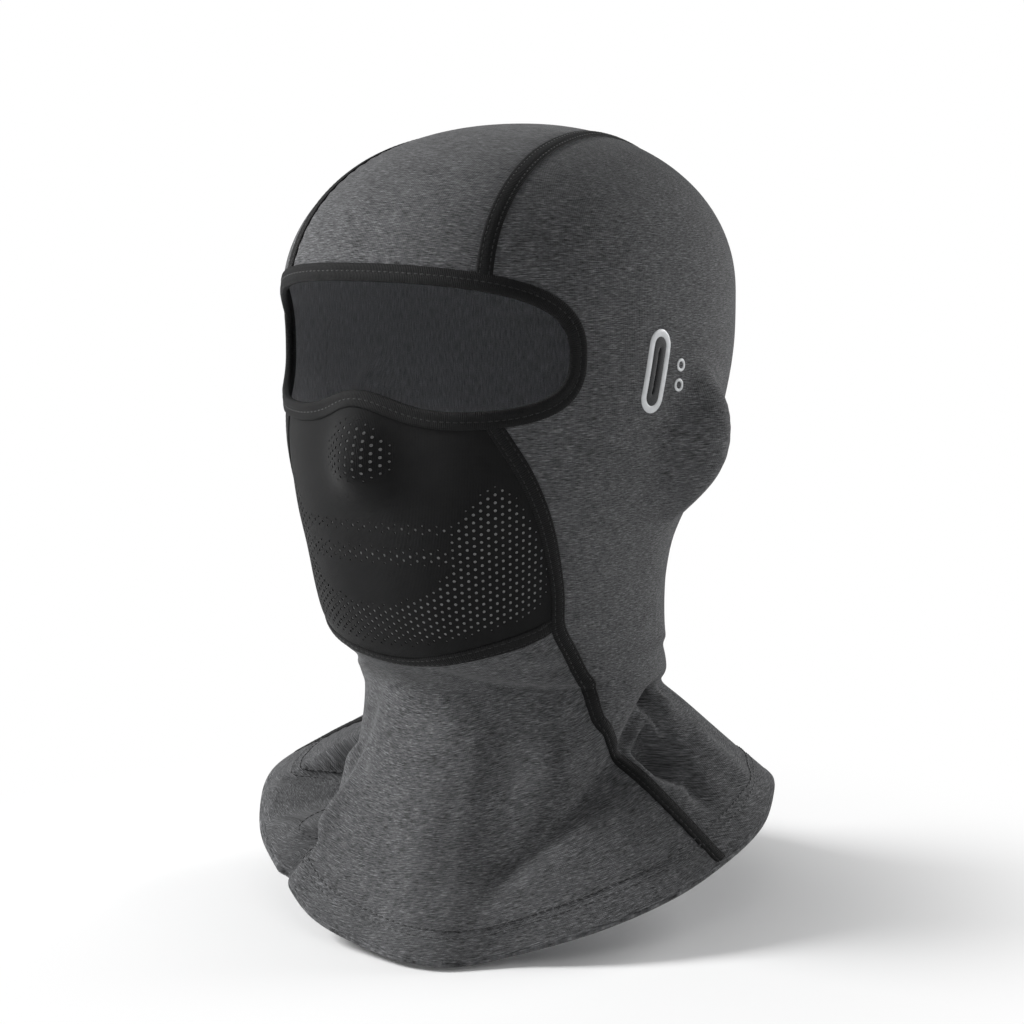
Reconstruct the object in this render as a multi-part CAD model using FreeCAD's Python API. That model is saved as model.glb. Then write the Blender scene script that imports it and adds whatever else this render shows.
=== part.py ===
import FreeCAD, Part
import math
import os

# A full-face balaclava of stretch knit, shown filled out as it sits on a head, in millimetres.
# +Z is up, the wearer faces -Y and the wearer's left is +X.  The origin is in the middle of the
# open foot of the skirt, level with the lowest point of the hem.  Every cloth piece is a thin solid
# that follows one shared form, so that neighbouring pieces meet at their seams.

# ---------------------------------------------------------------- driving dimensions
CLOTH = 1.0            # thickness of the knit
GAP = 0.3              # clearance between stacked layers, and between butted cloth edges
TAPE = 0.8             # thickness of the flatlock seam tape
TAPE_GAP = 0.5         # clearance under the tapes
CROWN_TAPE_GAP = 1.5   # the same over the crown, where the cloth bends sharply at the temples
BINDING = 0.8          # thickness of the strip that binds the eye opening
LINING = 0.6           # thickness of the mesh behind the face mask
PATCH = 0.6            # thickness of the bonded patches and reflective film
SEAM_WIDTH = 6.5       # width of the seam tape
CROWN_TAPE_TRIM = 4.5  # the crown tapes start this far behind the binding, which stands out there
FACE_TAPE_TRIM = 4.0   # the same for the tapes down the face
CHIN_TAPE_TRIM = 0.75 * SEAM_WIDTH     # the chin tape ends beside the face tapes
FREE_TRIM = 1.0        # left open between a tape's end and the neck or the hem
SEWING = 0.02          # faces closer than this are one edge
BINDING_WIDTH = 7.0    # visible width of the binding round the eye opening
CROWN_Z = 319.0        # top of the hood
WIDEST_Z = 250.0       # level where the hood is widest
SPLIT_Z = 91.0         # level on the neck where the hood hands over to the skirt
SPLIT_GAP = 1.0        # height left open there, so that the skirt can turn
HOOD_FOOT = SPLIT_Z + SPLIT_GAP / 2
SKIRT_TOP = SPLIT_Z - SPLIT_GAP / 2
NECK_RADIUS = 62.5     # radius of the neck tube
NECK_Y = -3.0          # the neck stands a little forward of the head's middle

# Sections of the hood: height, half width, centre y, depth forward and depth backward of it.
SECTIONS = (
    (250.0, 82.0, 3.0, 107.0, 100.0),
    (228.0, 82.0, 3.0, 107.0, 98.0),
    (208.0, 80.5, 2.0, 106.0, 92.0),
    (188.0, 77.0, 1.0, 105.0, 83.0),
    (168.0, 71.5, -1.0, 103.0, 72.0),
    (151.0, 66.0, -2.5, 99.5, 62.5),
    (135.0, 63.0, NECK_Y, 96.0, 60.0),
    (123.0, 62.0, NECK_Y, 91.0, 60.5),
    (113.0, 61.5, NECK_Y, 83.0, 61.5),
    (104.0, 61.5, NECK_Y, 71.0, 62.0),
    (95.0, NECK_RADIUS, NECK_Y, NECK_RADIUS, NECK_RADIUS),
)
FRONT_SQUARENESS = 2.4     # exponent of the front half of a section; 2 is an ellipse
DOME_SQUARENESS = 2.1      # the same for the profile of the crown
DOME_REACH = 80.0          # mean distance from the middle of the dome to its surface
HUB_Z = 240.0              # above this level the hood is reached by rays fanned from its middle
OVER_LENGTH = 250.0        # length of a crown seam from the brow to the back of the head

NOSE = dict(z=189.0, height=12.0, half_width=12.5, up=25.0, down=11.0)
EAR = dict(y=10.0, z=193.0, height=9.0, half_length=17.0, half_height=27.0, edge=1.6, side=30.0)

# Eye opening, as a bearing from straight ahead (degrees) and a height.
EYE_CENTRE_Z = 235.0
EYE_HALF_HEIGHT = 24.5
EYE_HALF_BEARING = 45.5
EYE_SQUARENESS = 2.9
EYE_NOSE_RISE = 7.0        # how far the lower edge lifts over the nose
EYE_NOSE_SPREAD = 11.0     # bearing over which it does so
EYE_TEMPLE_DROP = 4.0      # how far the outer ends hang below the middle
EYE_RADIUS = 92.0          # mean distance of the opening from the axis
CLOTH_INSET = 1.5          # cloth edge, measured from the fold of the binding

# Seam courses.  Crown seam: share of its run, half width.  The others: height, bearing.
CROWN_SEAM = ((0.0, 45.0), (0.06, 43.0), (0.12, 40.0), (0.22, 34.5), (0.30, 29.5), (0.42, 26.0), (1.0, 24.0))
MASK_SIDE = ((211.0, 25.5), (204.0, 29.0), (187.0, 35.5), (164.0, 42.0), (140.0, 46.5), (125.0, 47.0))
NECK_SEAM = ((125.0, 47.0), (115.0, 51.5), (100.0, 59.5), (90.0, 64.5), (76.0, 70.5), (64.0, 75.5),
             (46.0, 81.5), (25.0, 85.5), (-20.0, 86.5))
MASK_CORNER_Z = 125.0
MASK_CHIN_Z = 110.0
BACK_SEAM = ((0.0, 30.0), (SPLIT_Z, 24.0))     # height, half width

# Skirt.  The hem is long over the chest and short over the shoulders: bearing, height.
HEM_HEIGHTS = ((-180, 40), (-130, 44), (-90, 45), (-57, 38), (-40, 28), (-25, 19), (-13, 8), (3, 2), (17, 0),
               (29, 0), (47, 8), (72, 20), (86, 27), (105, 36), (123, 43), (150, 42))
FLARE_TOP = SPLIT_Z - 4.0
HEM_RADIUS = 108.0
FLARE_POWER = 1.25         # above 1 the flare starts slowly under the neck
FRONT_BEARING = 10.0       # the skirt is fuller over the chest, about this bearing
FRONT_SPREAD = 50.0
FRONT_FULLNESS = 0.25
HEM_DEPTH = 12.0           # height of the turned-up hem
THREAD = 0.5               # thickness of the hem's stitching thread
THREAD_HEIGHTS = dict(lower=8.0, upper=11.0)     # above the hem's edge
THREAD_OFFSET = CLOTH + TAPE_GAP + TAPE + GAP    # the stitching runs over the tapes

# Opening for a spectacle arm, and the two reflective dots behind it
SLOT = dict(y=-29.5, z=223.5, tilt=9.0, slit=(2.2, 21.0), patch=(6.4, 26.4), ring=(13.2, 33.2), band=2.9)
DOTS = dict(y=-10.0, z=221.0, spacing=8.0, radius=2.6, bore=1.4)


# ---------------------------------------------------------------- small helpers
def smooth(x, low, high):
    """0 below low, 1 above high, eased between them."""
    t = min(1.0, max(0.0, (x - low) / (high - low)))
    return t * t * (3.0 - 2.0 * t)


def through(points, x):
    """Cubic curve through (x, value) points, held level beyond both ends."""
    pts = sorted(points)
    if x <= pts[0][0]:
        return pts[0][1]
    if x >= pts[-1][0]:
        return pts[-1][1]
    i = 0
    while x > pts[i + 1][0]:
        i += 1

    def slope(k):
        if k == 0 or k == len(pts) - 1:
            return 0.0
        return (pts[k + 1][1] - pts[k - 1][1]) / (pts[k + 1][0] - pts[k - 1][0])

    span = pts[i + 1][0] - pts[i][0]
    t = (x - pts[i][0]) / span
    h0 = 2 * t ** 3 - 3 * t ** 2 + 1
    h1 = t ** 3 - 2 * t ** 2 + t
    h2 = 1 - h0
    h3 = t ** 3 - t ** 2
    return h0 * pts[i][1] + h1 * span * slope(i) + h2 * pts[i + 1][1] + h3 * span * slope(i + 1)


def around(points, bearing):
    """The same curve, closed over a full turn of bearing."""
    wrapped = [(b - 360.0, v) for b, v in points] + list(points) + [(b + 360.0, v) for b, v in points]
    return through(wrapped, (bearing + 180.0) % 360.0 - 180.0)


# ---------------------------------------------------------------- the shared form
SECTION_COURSES = [tuple((s[0], s[k]) for s in SECTIONS) for k in range(1, 5)]
_sections = {}


def section(z):
    """(half width, centre y, forward depth, backward depth) at a height."""
    key = round(z, 4)
    if key not in _sections:
        _sections[key] = tuple(through(course, z) for course in SECTION_COURSES)
    return _sections[key]


def skirt_radius(bearing, z):
    """Neck tube that opens into a flare over the chest, the shoulders and the back."""
    hem = around(HEM_HEIGHTS, bearing)
    share = max(0.0, (FLARE_TOP - z) / (FLARE_TOP - hem))
    front = math.exp(-((bearing - FRONT_BEARING) / FRONT_SPREAD) ** 2)
    return NECK_RADIUS + (HEM_RADIUS - NECK_RADIUS) * share ** (FLARE_POWER - FRONT_FULLNESS * front)


def radius_at(bearing, z):
    """Distance of the form from the section's centre, along a bearing from straight ahead."""
    if z < FLARE_TOP:
        return skirt_radius(bearing, z)
    half, centre, forward, backward = section(min(z, WIDEST_Z))
    s = abs(math.sin(math.radians(bearing)))
    c = math.cos(math.radians(bearing))
    depth, power = (forward, FRONT_SQUARENESS) if c > 0 else (backward, 2.0)
    power = 2.0 + (power - 2.0) * smooth(z, FLARE_TOP, 128.0)
    radius = ((s / half) ** power + (abs(c) / depth) ** power) ** (-1.0 / power)
    if z > WIDEST_Z:
        rise = (z - WIDEST_Z) / (CROWN_Z - WIDEST_Z)
        return radius * max(0.0, 1.0 - rise ** DOME_SQUARENESS) ** (1.0 / DOME_SQUARENESS)
    x = radius * s
    y = centre - radius * c
    if c > 0 and x < 4 * NOSE["half_width"]:
        reach = NOSE["up"] if z > NOSE["z"] else NOSE["down"]
        radius += NOSE["height"] * math.exp(-(x / NOSE["half_width"]) ** 2 - ((z - NOSE["z"]) / reach) ** 2)
    away = ((y - EAR["y"]) / EAR["half_length"]) ** 2 + ((z - EAR["z"]) / EAR["half_height"]) ** 2
    if x > EAR["side"]:
        radius += EAR["height"] * math.exp(-away ** EAR["edge"])
    return radius


def form_point(bearing, z):
    """Point of the form at a bearing and height."""
    r = radius_at(bearing, z)
    a = math.radians(bearing)
    return (r * math.sin(a), section(min(z, WIDEST_Z))[1] - r * math.cos(a), z)


def level(x, y, z):
    """Below 0 inside the form, above 0 outside it, near to millimetres close to the surface."""
    centre = section(min(z, WIDEST_Z))[1]
    rho = math.hypot(x, y - centre)
    bearing = math.degrees(math.atan2(x, centre - y))
    if z <= WIDEST_Z:
        return rho - radius_at(bearing, z)
    rise = (z - WIDEST_Z) / (CROWN_Z - WIDEST_Z)
    share = rho / radius_at(bearing, WIDEST_Z)
    outward = (share ** DOME_SQUARENESS + rise ** DOME_SQUARENESS) ** (1.0 / DOME_SQUARENESS)
    return (outward - 1.0) * DOME_REACH


HUB = (0.0, section(HUB_Z)[1], HUB_Z)


def cast(origin, direction):
    """Where a ray from inside leaves the form."""
    low, high = 0.0, 400.0 / math.sqrt(sum(d * d for d in direction))
    for _ in range(34):
        mid = (low + high) / 2
        p = [o + d * mid for o, d in zip(origin, direction)]
        if level(*p) < 0.0:
            low = mid
        else:
            high = mid
    return tuple(o + d * low for o, d in zip(origin, direction))


def onto_form(p):
    """Carries a nearby point onto the form: level rays below the hub, fanned rays above it."""
    x, y, z = p
    if z > HUB_Z:
        return cast(HUB, (x - HUB[0], y - HUB[1], z - HUB[2]))
    return form_point(math.degrees(math.atan2(x, section(z)[1] - y)), z)


def normal_at(p):
    """Outward unit normal of the form."""
    x, y, z = p
    step = 0.05
    g = (level(x + step, y, z) - level(x - step, y, z),
         level(x, y + step, z) - level(x, y - step, z),
         level(x, y, z + step) - level(x, y, z - step))
    size = math.sqrt(sum(c * c for c in g))
    return tuple(c / size for c in g)


def lift(p, offset):
    n = normal_at(p)
    return tuple(a + offset * b for a, b in zip(p, n))


def between(a, b, t):
    return tuple(p + (q - p) * t for p, q in zip(a, b))


def distance(a, b):
    return math.dist(a, b)


def resample(points, count):
    """The same course with evenly spaced points."""
    run = [0.0]
    for a, b in zip(points, points[1:]):
        run.append(run[-1] + distance(a, b))
    out, k = [], 0
    for i in range(count):
        want = run[-1] * i / (count - 1)
        while k < len(points) - 2 and run[k + 1] < want:
            k += 1
        out.append(between(points[k], points[k + 1], (want - run[k]) / max(1e-9, run[k + 1] - run[k])))
    return out


# ---------------------------------------------------------------- courses on the form
def eye_point(turn, grow):
    """Edge of the eye opening; turn 0 is the wearer's left temple and 90 the brow, in degrees."""
    c, s = math.cos(math.radians(turn)), math.sin(math.radians(turn))
    power = 2.0 / EYE_SQUARENESS
    across = math.copysign(abs(c) ** power, c)
    up = math.copysign(abs(s) ** power, s)
    bearing = across * (EYE_HALF_BEARING + math.degrees(grow / EYE_RADIUS))
    z = EYE_CENTRE_Z + up * (EYE_HALF_HEIGHT + grow) - EYE_TEMPLE_DROP * across * across
    if up < 0.0:
        z += EYE_NOSE_RISE * math.exp(-(bearing / EYE_NOSE_SPREAD) ** 2) * abs(up)
    return form_point(bearing, z) if z < HUB[2] else onto_form(form_point(bearing, z))


def eye_edge(first_turn, last_turn, grow, count):
    """Evenly spaced points along the edge of the eye opening."""
    fine = [eye_point(first_turn + (last_turn - first_turn) * i / 200, grow) for i in range(201)]
    return resample(fine, count)


def turn_where(test, low, high):
    """Turn at which test changes sign between low and high."""
    start = test(low) > 0
    for _ in range(40):
        mid = (low + high) / 2
        if (test(mid) > 0) == start:
            low = mid
        else:
            high = mid
    return low


def crown_turn(grow):
    """Turn on the brow at which the left crown seam starts."""
    return turn_where(lambda t: eye_point(t, grow)[0] - CROWN_SEAM[0][1], 20.0, 90.0)


def mask_turn(grow):
    """Turn on the lower edge of the eye opening at which the left side of the mask starts."""
    def beyond_mask(t):
        x, y, z = eye_point(t, grow)
        return math.degrees(math.atan2(x, section(z)[1] - y)) - through(MASK_SIDE, z)
    return turn_where(beyond_mask, -88.0, -20.0)


def swapped(course):
    """The same course on the wearer's other side."""
    return [(-x, y, z) for x, y, z in course]


def crown_course(grow):
    """Left crown seam, from the brow over the head and down the back of the neck to the split."""
    first = eye_point(crown_turn(grow), grow)
    start = math.atan2(first[2] - HUB_Z, HUB[1] - first[1])
    over, down = OVER_LENGTH, HUB_Z - HOOD_FOOT
    count = 60
    points = [first]
    for i in range(1, count + 1):
        run = (over + down) * i / count
        half = through(CROWN_SEAM, run / (over + down))
        if run <= over:
            a = start + (math.pi - start) * run / over
            points.append(cast((half, HUB[1], HUB_Z), (0.0, -math.cos(a), math.sin(a))))
        else:
            points.append(cast((half, HUB[1], HUB_Z - (run - over)), (0.0, 1.0, 0.0)))
    return points


def face_course(grow):
    """Left edge of the face mask, from the eye opening down to its corner."""
    top = eye_point(mask_turn(grow), grow)
    count = 24
    heights = [top[2] + (MASK_CORNER_Z - top[2]) * i / count for i in range(1, count + 1)]
    return [top] + [form_point(through(MASK_SIDE, z), z) for z in heights]


def neck_course(top, bottom):
    """Left neck seam between two heights."""
    count = 30
    heights = [top + (bottom - top) * i / count for i in range(count + 1)]
    return [form_point(through(NECK_SEAM, z), z) for z in heights]


def foot_course():
    """Lower edge of the face mask, under the chin, from the right corner to the left."""
    corner = MASK_SIDE[-1][1]
    count = 40
    points = []
    for i in range(count + 1):
        bearing = corner * (2.0 * i / count - 1.0)
        rise = (MASK_CORNER_Z - MASK_CHIN_Z) * abs(bearing / corner) ** 1.4
        points.append(form_point(bearing, MASK_CHIN_Z + rise))
    return points


def level_course(from_bearing, to_bearing, z):
    """Level line on the form."""
    count = 40
    return [form_point(from_bearing + (to_bearing - from_bearing) * i / count, z) for i in range(count + 1)]


def neck_bearing(z):
    return through(NECK_SEAM, z)


def back_bearing(z):
    """Bearing of the left back seam on the neck and the skirt."""
    half = through(BACK_SEAM, z)
    bearing = 155.0
    for _ in range(12):
        bearing = 180.0 - math.degrees(math.asin(half / radius_at(bearing, z)))
    return bearing


def skirt_point(low_seam, high_seam, u, t):
    """Point of the skirt: u runs between two seams (functions of height), t from the split to the hem."""
    z = SKIRT_TOP
    for _ in range(25):
        bearing = low_seam(z) + (high_seam(z) - low_seam(z)) * u
        z += 0.6 * (SKIRT_TOP + (around(HEM_HEIGHTS, bearing) - SKIRT_TOP) * t - z)
    return form_point(bearing, z)


# ---------------------------------------------------------------- solids
def surface_through(grid):
    surface = Part.BSplineSurface()
    surface.interpolate([[FreeCAD.Vector(*p) for p in row] for row in grid])
    return surface


def ruled(curve_a, curve_b):
    """Face of straight lines between two curves."""
    surface = Part.BSplineSurface()
    surface.buildFromNSections([curve_a, curve_b])
    return surface.toShape()


def closed_solid(faces):
    """One solid from faces that meet edge to edge."""
    sewn = Part.Compound(faces)
    sewn.sewShape(SEWING)
    solid = Part.Solid(sewn.Shells[0])
    if solid.Volume < 0:
        solid.reverse()
    return solid


def sheet(grid, inner, outer):
    """Solid between two offsets of a grid of points on the form."""
    low = surface_through([[lift(p, inner) for p in row] for row in grid])
    high = surface_through([[lift(p, outer) for p in row] for row in grid])
    faces = [low.toShape(), high.toShape()]
    u0, u1, v0, v1 = low.bounds()
    a0, a1, b0, b1 = high.bounds()
    for low_edge, high_edge in ((low.uIso(u0), high.uIso(a0)), (low.uIso(u1), high.uIso(a1)),
                                (low.vIso(v0), high.vIso(b0)), (low.vIso(v1), high.vIso(b1))):
        faces.append(ruled(low_edge, high_edge))
    return closed_solid(faces)


def coons(first, last, start, end):
    """Grid of form points inside four courses: first and last run across, start and end run down."""
    across, down = len(first) - 1, len(start) - 1
    grid = []
    for j in range(down + 1):
        v = j / down
        row = []
        for i in range(across + 1):
            u = i / across
            mix = []
            for k in range(3):
                lines = (1 - v) * first[i][k] + v * last[i][k] + (1 - u) * start[j][k] + u * end[j][k]
                corners = ((1 - u) * ((1 - v) * first[0][k] + v * last[0][k])
                           + u * ((1 - v) * first[-1][k] + v * last[-1][k]))
                mix.append(lines - corners)
            row.append(onto_form(mix))
        grid.append(row)
    return grid


def inset(grid, amount):
    """Pulls the rim of a grid inward, so that butted cloth edges leave a gap."""
    rows, cols = len(grid), len(grid[0])
    out = []
    for j in range(rows):
        row = []
        for i in range(cols):
            p = grid[j][i]
            if i in (0, cols - 1):
                q = grid[j][1 if i == 0 else cols - 2]
                p = between(p, q, amount / distance(p, q))
            if j in (0, rows - 1):
                q = grid[1 if j == 0 else rows - 2][i]
                p = between(p, q, amount / distance(p, q))
            row.append(onto_form(p))
        out.append(row)
    return out


def strip(course, inner, outer, trim_start, trim_end, spacing=4.0):
    """Flat tape laid along a course on the form, stopping short of its ends."""
    fine = resample(course, 401)
    total = sum(distance(a, b) for a, b in zip(fine, fine[1:]))
    kept = fine[int(400 * trim_start / total): 401 - int(400 * trim_end / total)]
    points = resample(kept, max(6, int(total / spacing)))
    grid = []
    for i, p in enumerate(points):
        along = FreeCAD.Vector(*points[min(i + 1, len(points) - 1)]) - FreeCAD.Vector(*points[max(i - 1, 0)])
        p = onto_form(p)
        aside = along.cross(FreeCAD.Vector(*normal_at(p))).normalize()
        middle = FreeCAD.Vector(*p)
        grid.append([onto_form(tuple(middle + aside * (SEAM_WIDTH * (k / 4.0 - 0.5)))) for k in range(5)])
    return sheet(grid, inner, outer)


def ring(stations):
    """Closed ring from cross-sections, each a list of corner points in the same order."""
    corners = len(stations[0])
    curves = []
    for k in range(corners):
        curve = Part.BSplineCurve()
        curve.interpolate(Points=[FreeCAD.Vector(*s[k]) for s in stations], PeriodicFlag=True)
        curves.append(curve)
    return closed_solid([ruled(curves[k], curves[(k + 1) % corners]) for k in range(corners)])


def save(name, *solids):
    shape = solids[0] if len(solids) == 1 else Part.Compound(list(solids))
    shape.exportStep(os.path.join("parts", name + ".step"))
    sound = all(s.isValid() and s.isClosed() and s.Volume > 0 for s in shape.Solids)
    print(name, len(shape.Solids), "ok" if sound else "NOT SOUND", round(shape.Volume, 1))


def save_pair(name, left):
    """The left piece as built, and the right piece as its mirror image."""
    save(name + "_left", left)
    save(name + "_right", left.mirror(FreeCAD.Vector(0, 0, 0), FreeCAD.Vector(1, 0, 0)))


# ---------------------------------------------------------------- hood pieces
def crown_panel():
    """Middle strip of the hood, from the brow over the head to the nape."""
    left = resample(crown_course(CLOTH_INSET), 56)
    right = swapped(left)
    turn = crown_turn(CLOTH_INSET)
    brow = eye_edge(180.0 - turn, turn, CLOTH_INSET, 13)
    nape = resample([onto_form(between(right[-1], left[-1], i / 20)) for i in range(21)], 13)
    return sheet(inset(coons(brow, nape, right, left), GAP), 0.0, CLOTH)


def side_panel():
    """Left side of the hood: behind the eye opening and the mask, below the crown seam."""
    across, down = 44, 22
    crown = resample(crown_course(CLOTH_INSET), across)
    front = face_course(CLOTH_INSET) + neck_course(MASK_CORNER_Z, HOOD_FOOT)[1:]
    temple = eye_edge(crown_turn(CLOTH_INSET), mask_turn(CLOTH_INSET), CLOTH_INSET, down)
    foot = resample(level_course(back_bearing(HOOD_FOOT), neck_bearing(HOOD_FOOT), HOOD_FOOT), down)
    panel = sheet(inset(coons(crown, resample(front, across), temple, foot), GAP), 0.0, CLOTH)
    return panel.cut(slot_prism(SLOT["slit"])).Solids[0]


def chin_panel():
    """Front of the neck, between the mask and the split."""
    left = resample(neck_course(MASK_CORNER_Z, HOOD_FOOT), 12)
    foot = resample(foot_course(), 33)
    bearing = neck_bearing(HOOD_FOOT)
    base = resample(level_course(-bearing, bearing, HOOD_FOOT), 33)
    return sheet(inset(coons(foot, base, swapped(left), left), GAP), 0.0, CLOTH)


def mask_sheet(grow, inner, outer):
    left = resample(face_course(grow), 24)
    turn = mask_turn(grow)
    top = eye_edge(-180.0 - turn, turn, grow, 33)
    return sheet(inset(coons(top, resample(foot_course(), 33), swapped(left), left), GAP), inner, outer)


def eye_binding():
    """Strip folded over the cloth edge all round the eye opening, as a U in section."""
    mid, rim, fold = BINDING_WIDTH / 2, BINDING_WIDTH, 0.8
    inside, outside = -GAP - BINDING, CLOTH + GAP + BINDING
    outline = ((0.0, outside), (mid, outside), (rim, outside), (rim, CLOTH + GAP), (mid, CLOTH + GAP),
               (fold, CLOTH + GAP), (fold, -GAP), (mid, -GAP), (rim, -GAP), (rim, inside), (mid, inside),
               (0.0, inside))
    count = 88
    fine = [eye_point(360.0 * i / 720, 0.0) for i in range(721)]
    run = [0.0]
    for a, b in zip(fine, fine[1:]):
        run.append(run[-1] + distance(a, b))
    stations = []
    for i in range(count):
        want = run[-1] * i / count
        k = max(j for j in range(720) if run[j] <= want)
        turn = (k + (want - run[k]) / (run[k + 1] - run[k])) / 2.0
        stations.append([lift(eye_point(turn, grow), offset) for grow, offset in outline])
    return ring(stations)


def slot_frame():
    """Centre of the spectacle slot on the form, with the directions across it, along it and out of it."""
    centre = onto_form((100.0, SLOT["y"], SLOT["z"]))
    out = FreeCAD.Vector(*normal_at(centre))
    tilt = math.radians(SLOT["tilt"])
    along = FreeCAD.Vector(0.0, math.sin(tilt), math.cos(tilt))
    across = along.cross(out).normalize()
    along = out.cross(across)
    return FreeCAD.Vector(*centre), across, along, out


def stadium(size, count):
    """Points round a slot outline of the given width and height."""
    width, height = size
    radius, straight = width / 2.0, height - width
    total = 2.0 * (straight + math.pi * radius)
    points = []
    for i in range(count):
        run = total * i / count
        if run < straight:
            points.append((radius, run - straight / 2.0))
        elif run < straight + math.pi * radius:
            a = (run - straight) / radius
            points.append((radius * math.cos(a), straight / 2.0 + radius * math.sin(a)))
        elif run < 2.0 * straight + math.pi * radius:
            points.append((-radius, straight / 2.0 - (run - straight - math.pi * radius)))
        else:
            a = math.pi + (run - 2.0 * straight - math.pi * radius) / radius
            points.append((radius * math.cos(a), -straight / 2.0 + radius * math.sin(a)))
    return points


def slot_prism(size):
    """Straight cutter of slot outline, through the cloth of the left side."""
    centre, across, along, out = slot_frame()
    outline = [centre + across * a + along * b - out * 8.0 for a, b in stadium(size, 36)]
    return Part.Face(Part.makePolygon(outline + outline[:1])).extrude(out * 16.0)


def slot_patch():
    """Bonded patch with the slit for the spectacle arm."""
    centre, across, along, out = slot_frame()
    width, height = SLOT["patch"][0] + 2.0, SLOT["patch"][1] + 2.0
    grid = []
    for j in range(9):
        line = centre + along * (height * (j / 8.0 - 0.5))
        grid.append([onto_form(tuple(line + across * (width * (i / 4.0 - 0.5)))) for i in range(5)])
    blank = sheet(grid, CLOTH + GAP, CLOTH + GAP + PATCH)
    return blank.common(slot_prism(SLOT["patch"])).cut(slot_prism(SLOT["slit"])).Solids[0]


def slot_ring():
    """Reflective film in the shape of a long ring round the patch."""
    centre, across, along, out = slot_frame()
    inner = (SLOT["ring"][0] - 2 * SLOT["band"], SLOT["ring"][1] - 2 * SLOT["band"])
    stations = []
    for a, b in zip(stadium(SLOT["ring"], 48), stadium(inner, 48)):
        rim = onto_form(tuple(centre + across * a[0] + along * a[1]))
        bore = onto_form(tuple(centre + across * b[0] + along * b[1]))
        low, high = CLOTH + GAP, CLOTH + GAP + PATCH
        stations.append([lift(rim, low), lift(rim, high), lift(bore, high), lift(bore, low)])
    return ring(stations)


def reflective_dots():
    """Two plain round dots of the same film, one above the other, each with an open middle."""
    tilt = math.radians(SLOT["tilt"])
    dots = []
    for side in (-0.5, 0.5):
        step = side * DOTS["spacing"]
        p = onto_form((100.0, DOTS["y"] + step * math.sin(tilt), DOTS["z"] + step * math.cos(tilt)))
        out = FreeCAD.Vector(*normal_at(p))
        foot = FreeCAD.Vector(*p) + out * (CLOTH + GAP)
        bore = Part.makeCylinder(DOTS["bore"], 3.0 * PATCH, foot - out * PATCH, out)
        dots.append(Part.makeCylinder(DOTS["radius"], PATCH, foot, out).cut(bore).Solids[0])
    return Part.Compound(dots)


# ---------------------------------------------------------------- skirt pieces
def skirt_panel(low_seam, high_seam, across):
    down = 18
    grid = [[skirt_point(low_seam, high_seam, i / across, j / down) for i in range(across + 1)]
            for j in range(down + 1)]
    return sheet(inset(grid, GAP), 0.0, CLOTH)


def skirt_front():
    return skirt_panel(lambda z: -neck_bearing(z), neck_bearing, 40)


def skirt_side(side):
    """Side of the skirt on the wearer's left (1) or right (-1); the hem lies differently on each."""
    if side > 0:
        return skirt_panel(neck_bearing, back_bearing, 24)
    return skirt_panel(lambda z: -back_bearing(z), lambda z: -neck_bearing(z), 24)


def skirt_back():
    return skirt_panel(back_bearing, lambda z: 360.0 - back_bearing(z), 16)


def seam_on_skirt(seam):
    """Tape over a seam of the skirt, given as bearing against height."""
    course = [skirt_point(seam, seam, 0.0, i / 60) for i in range(61)]
    return strip(course, CLOTH + TAPE_GAP, CLOTH + TAPE_GAP + TAPE, FREE_TRIM, FREE_TRIM / 2, spacing=3.0)


def hem_ring(heights, inner, outer):
    """Closed ring that follows the hem, between heights above its edge."""
    count = 120
    stations = []
    for i in range(count):
        bearing = 360.0 * i / count
        hem = around(HEM_HEIGHTS, bearing)
        course = [form_point(bearing, hem + h) for h in heights]
        stations.append([lift(p, inner) for p in course] + [lift(p, outer) for p in reversed(course)])
    return ring(stations)


if __name__ == "__main__":
    os.makedirs("parts", exist_ok=True)
    over = CLOTH + TAPE_GAP
    save("crown_panel", crown_panel())
    save_pair("side_panel", side_panel())
    save("chin_panel", chin_panel())
    save("face_mask", mask_sheet(CLOTH_INSET, 0.0, CLOTH))
    save("mask_lining", mask_sheet(BINDING_WIDTH + 1.0, -GAP - LINING, -GAP))
    save("eye_binding", eye_binding())
    over_crown = CLOTH + CROWN_TAPE_GAP
    save_pair("crown_seam", strip(crown_course(BINDING_WIDTH), over_crown, over_crown + TAPE,
                                  CROWN_TAPE_TRIM, FREE_TRIM))
    face_line = face_course(BINDING_WIDTH) + neck_course(MASK_CORNER_Z, HOOD_FOOT)[1:]
    save_pair("face_seam", strip(face_line, over, over + TAPE, FACE_TAPE_TRIM, FREE_TRIM))
    save("chin_seam", strip(foot_course(), over, over + TAPE, CHIN_TAPE_TRIM, CHIN_TAPE_TRIM))
    save_pair("slot_patch", slot_patch())
    save_pair("slot_ring", slot_ring())
    save_pair("reflective_dots", reflective_dots())
    save("skirt_front", skirt_front())
    save("skirt_side_left", skirt_side(1))
    save("skirt_side_right", skirt_side(-1))
    save("skirt_back", skirt_back())
    save("neck_seam_left", seam_on_skirt(neck_bearing))
    save("neck_seam_right", seam_on_skirt(lambda z: -neck_bearing(z)))
    save("back_seam_left", seam_on_skirt(back_bearing))
    save("back_seam_right", seam_on_skirt(lambda z: -back_bearing(z)))
    save("hem_turn_up", hem_ring((0.6, HEM_DEPTH / 2, HEM_DEPTH), -GAP - CLOTH, -GAP))
    for row, height in THREAD_HEIGHTS.items():
        thread = hem_ring((height, height + THREAD), THREAD_OFFSET, THREAD_OFFSET + THREAD)
        save("hem_thread_" + row, thread)
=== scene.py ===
import math
import bpy
import numpy as np
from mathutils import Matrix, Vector
from mathutils.bvhtree import BVHTree
from mathutils.geometry import delaunay_2d_cdt


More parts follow.
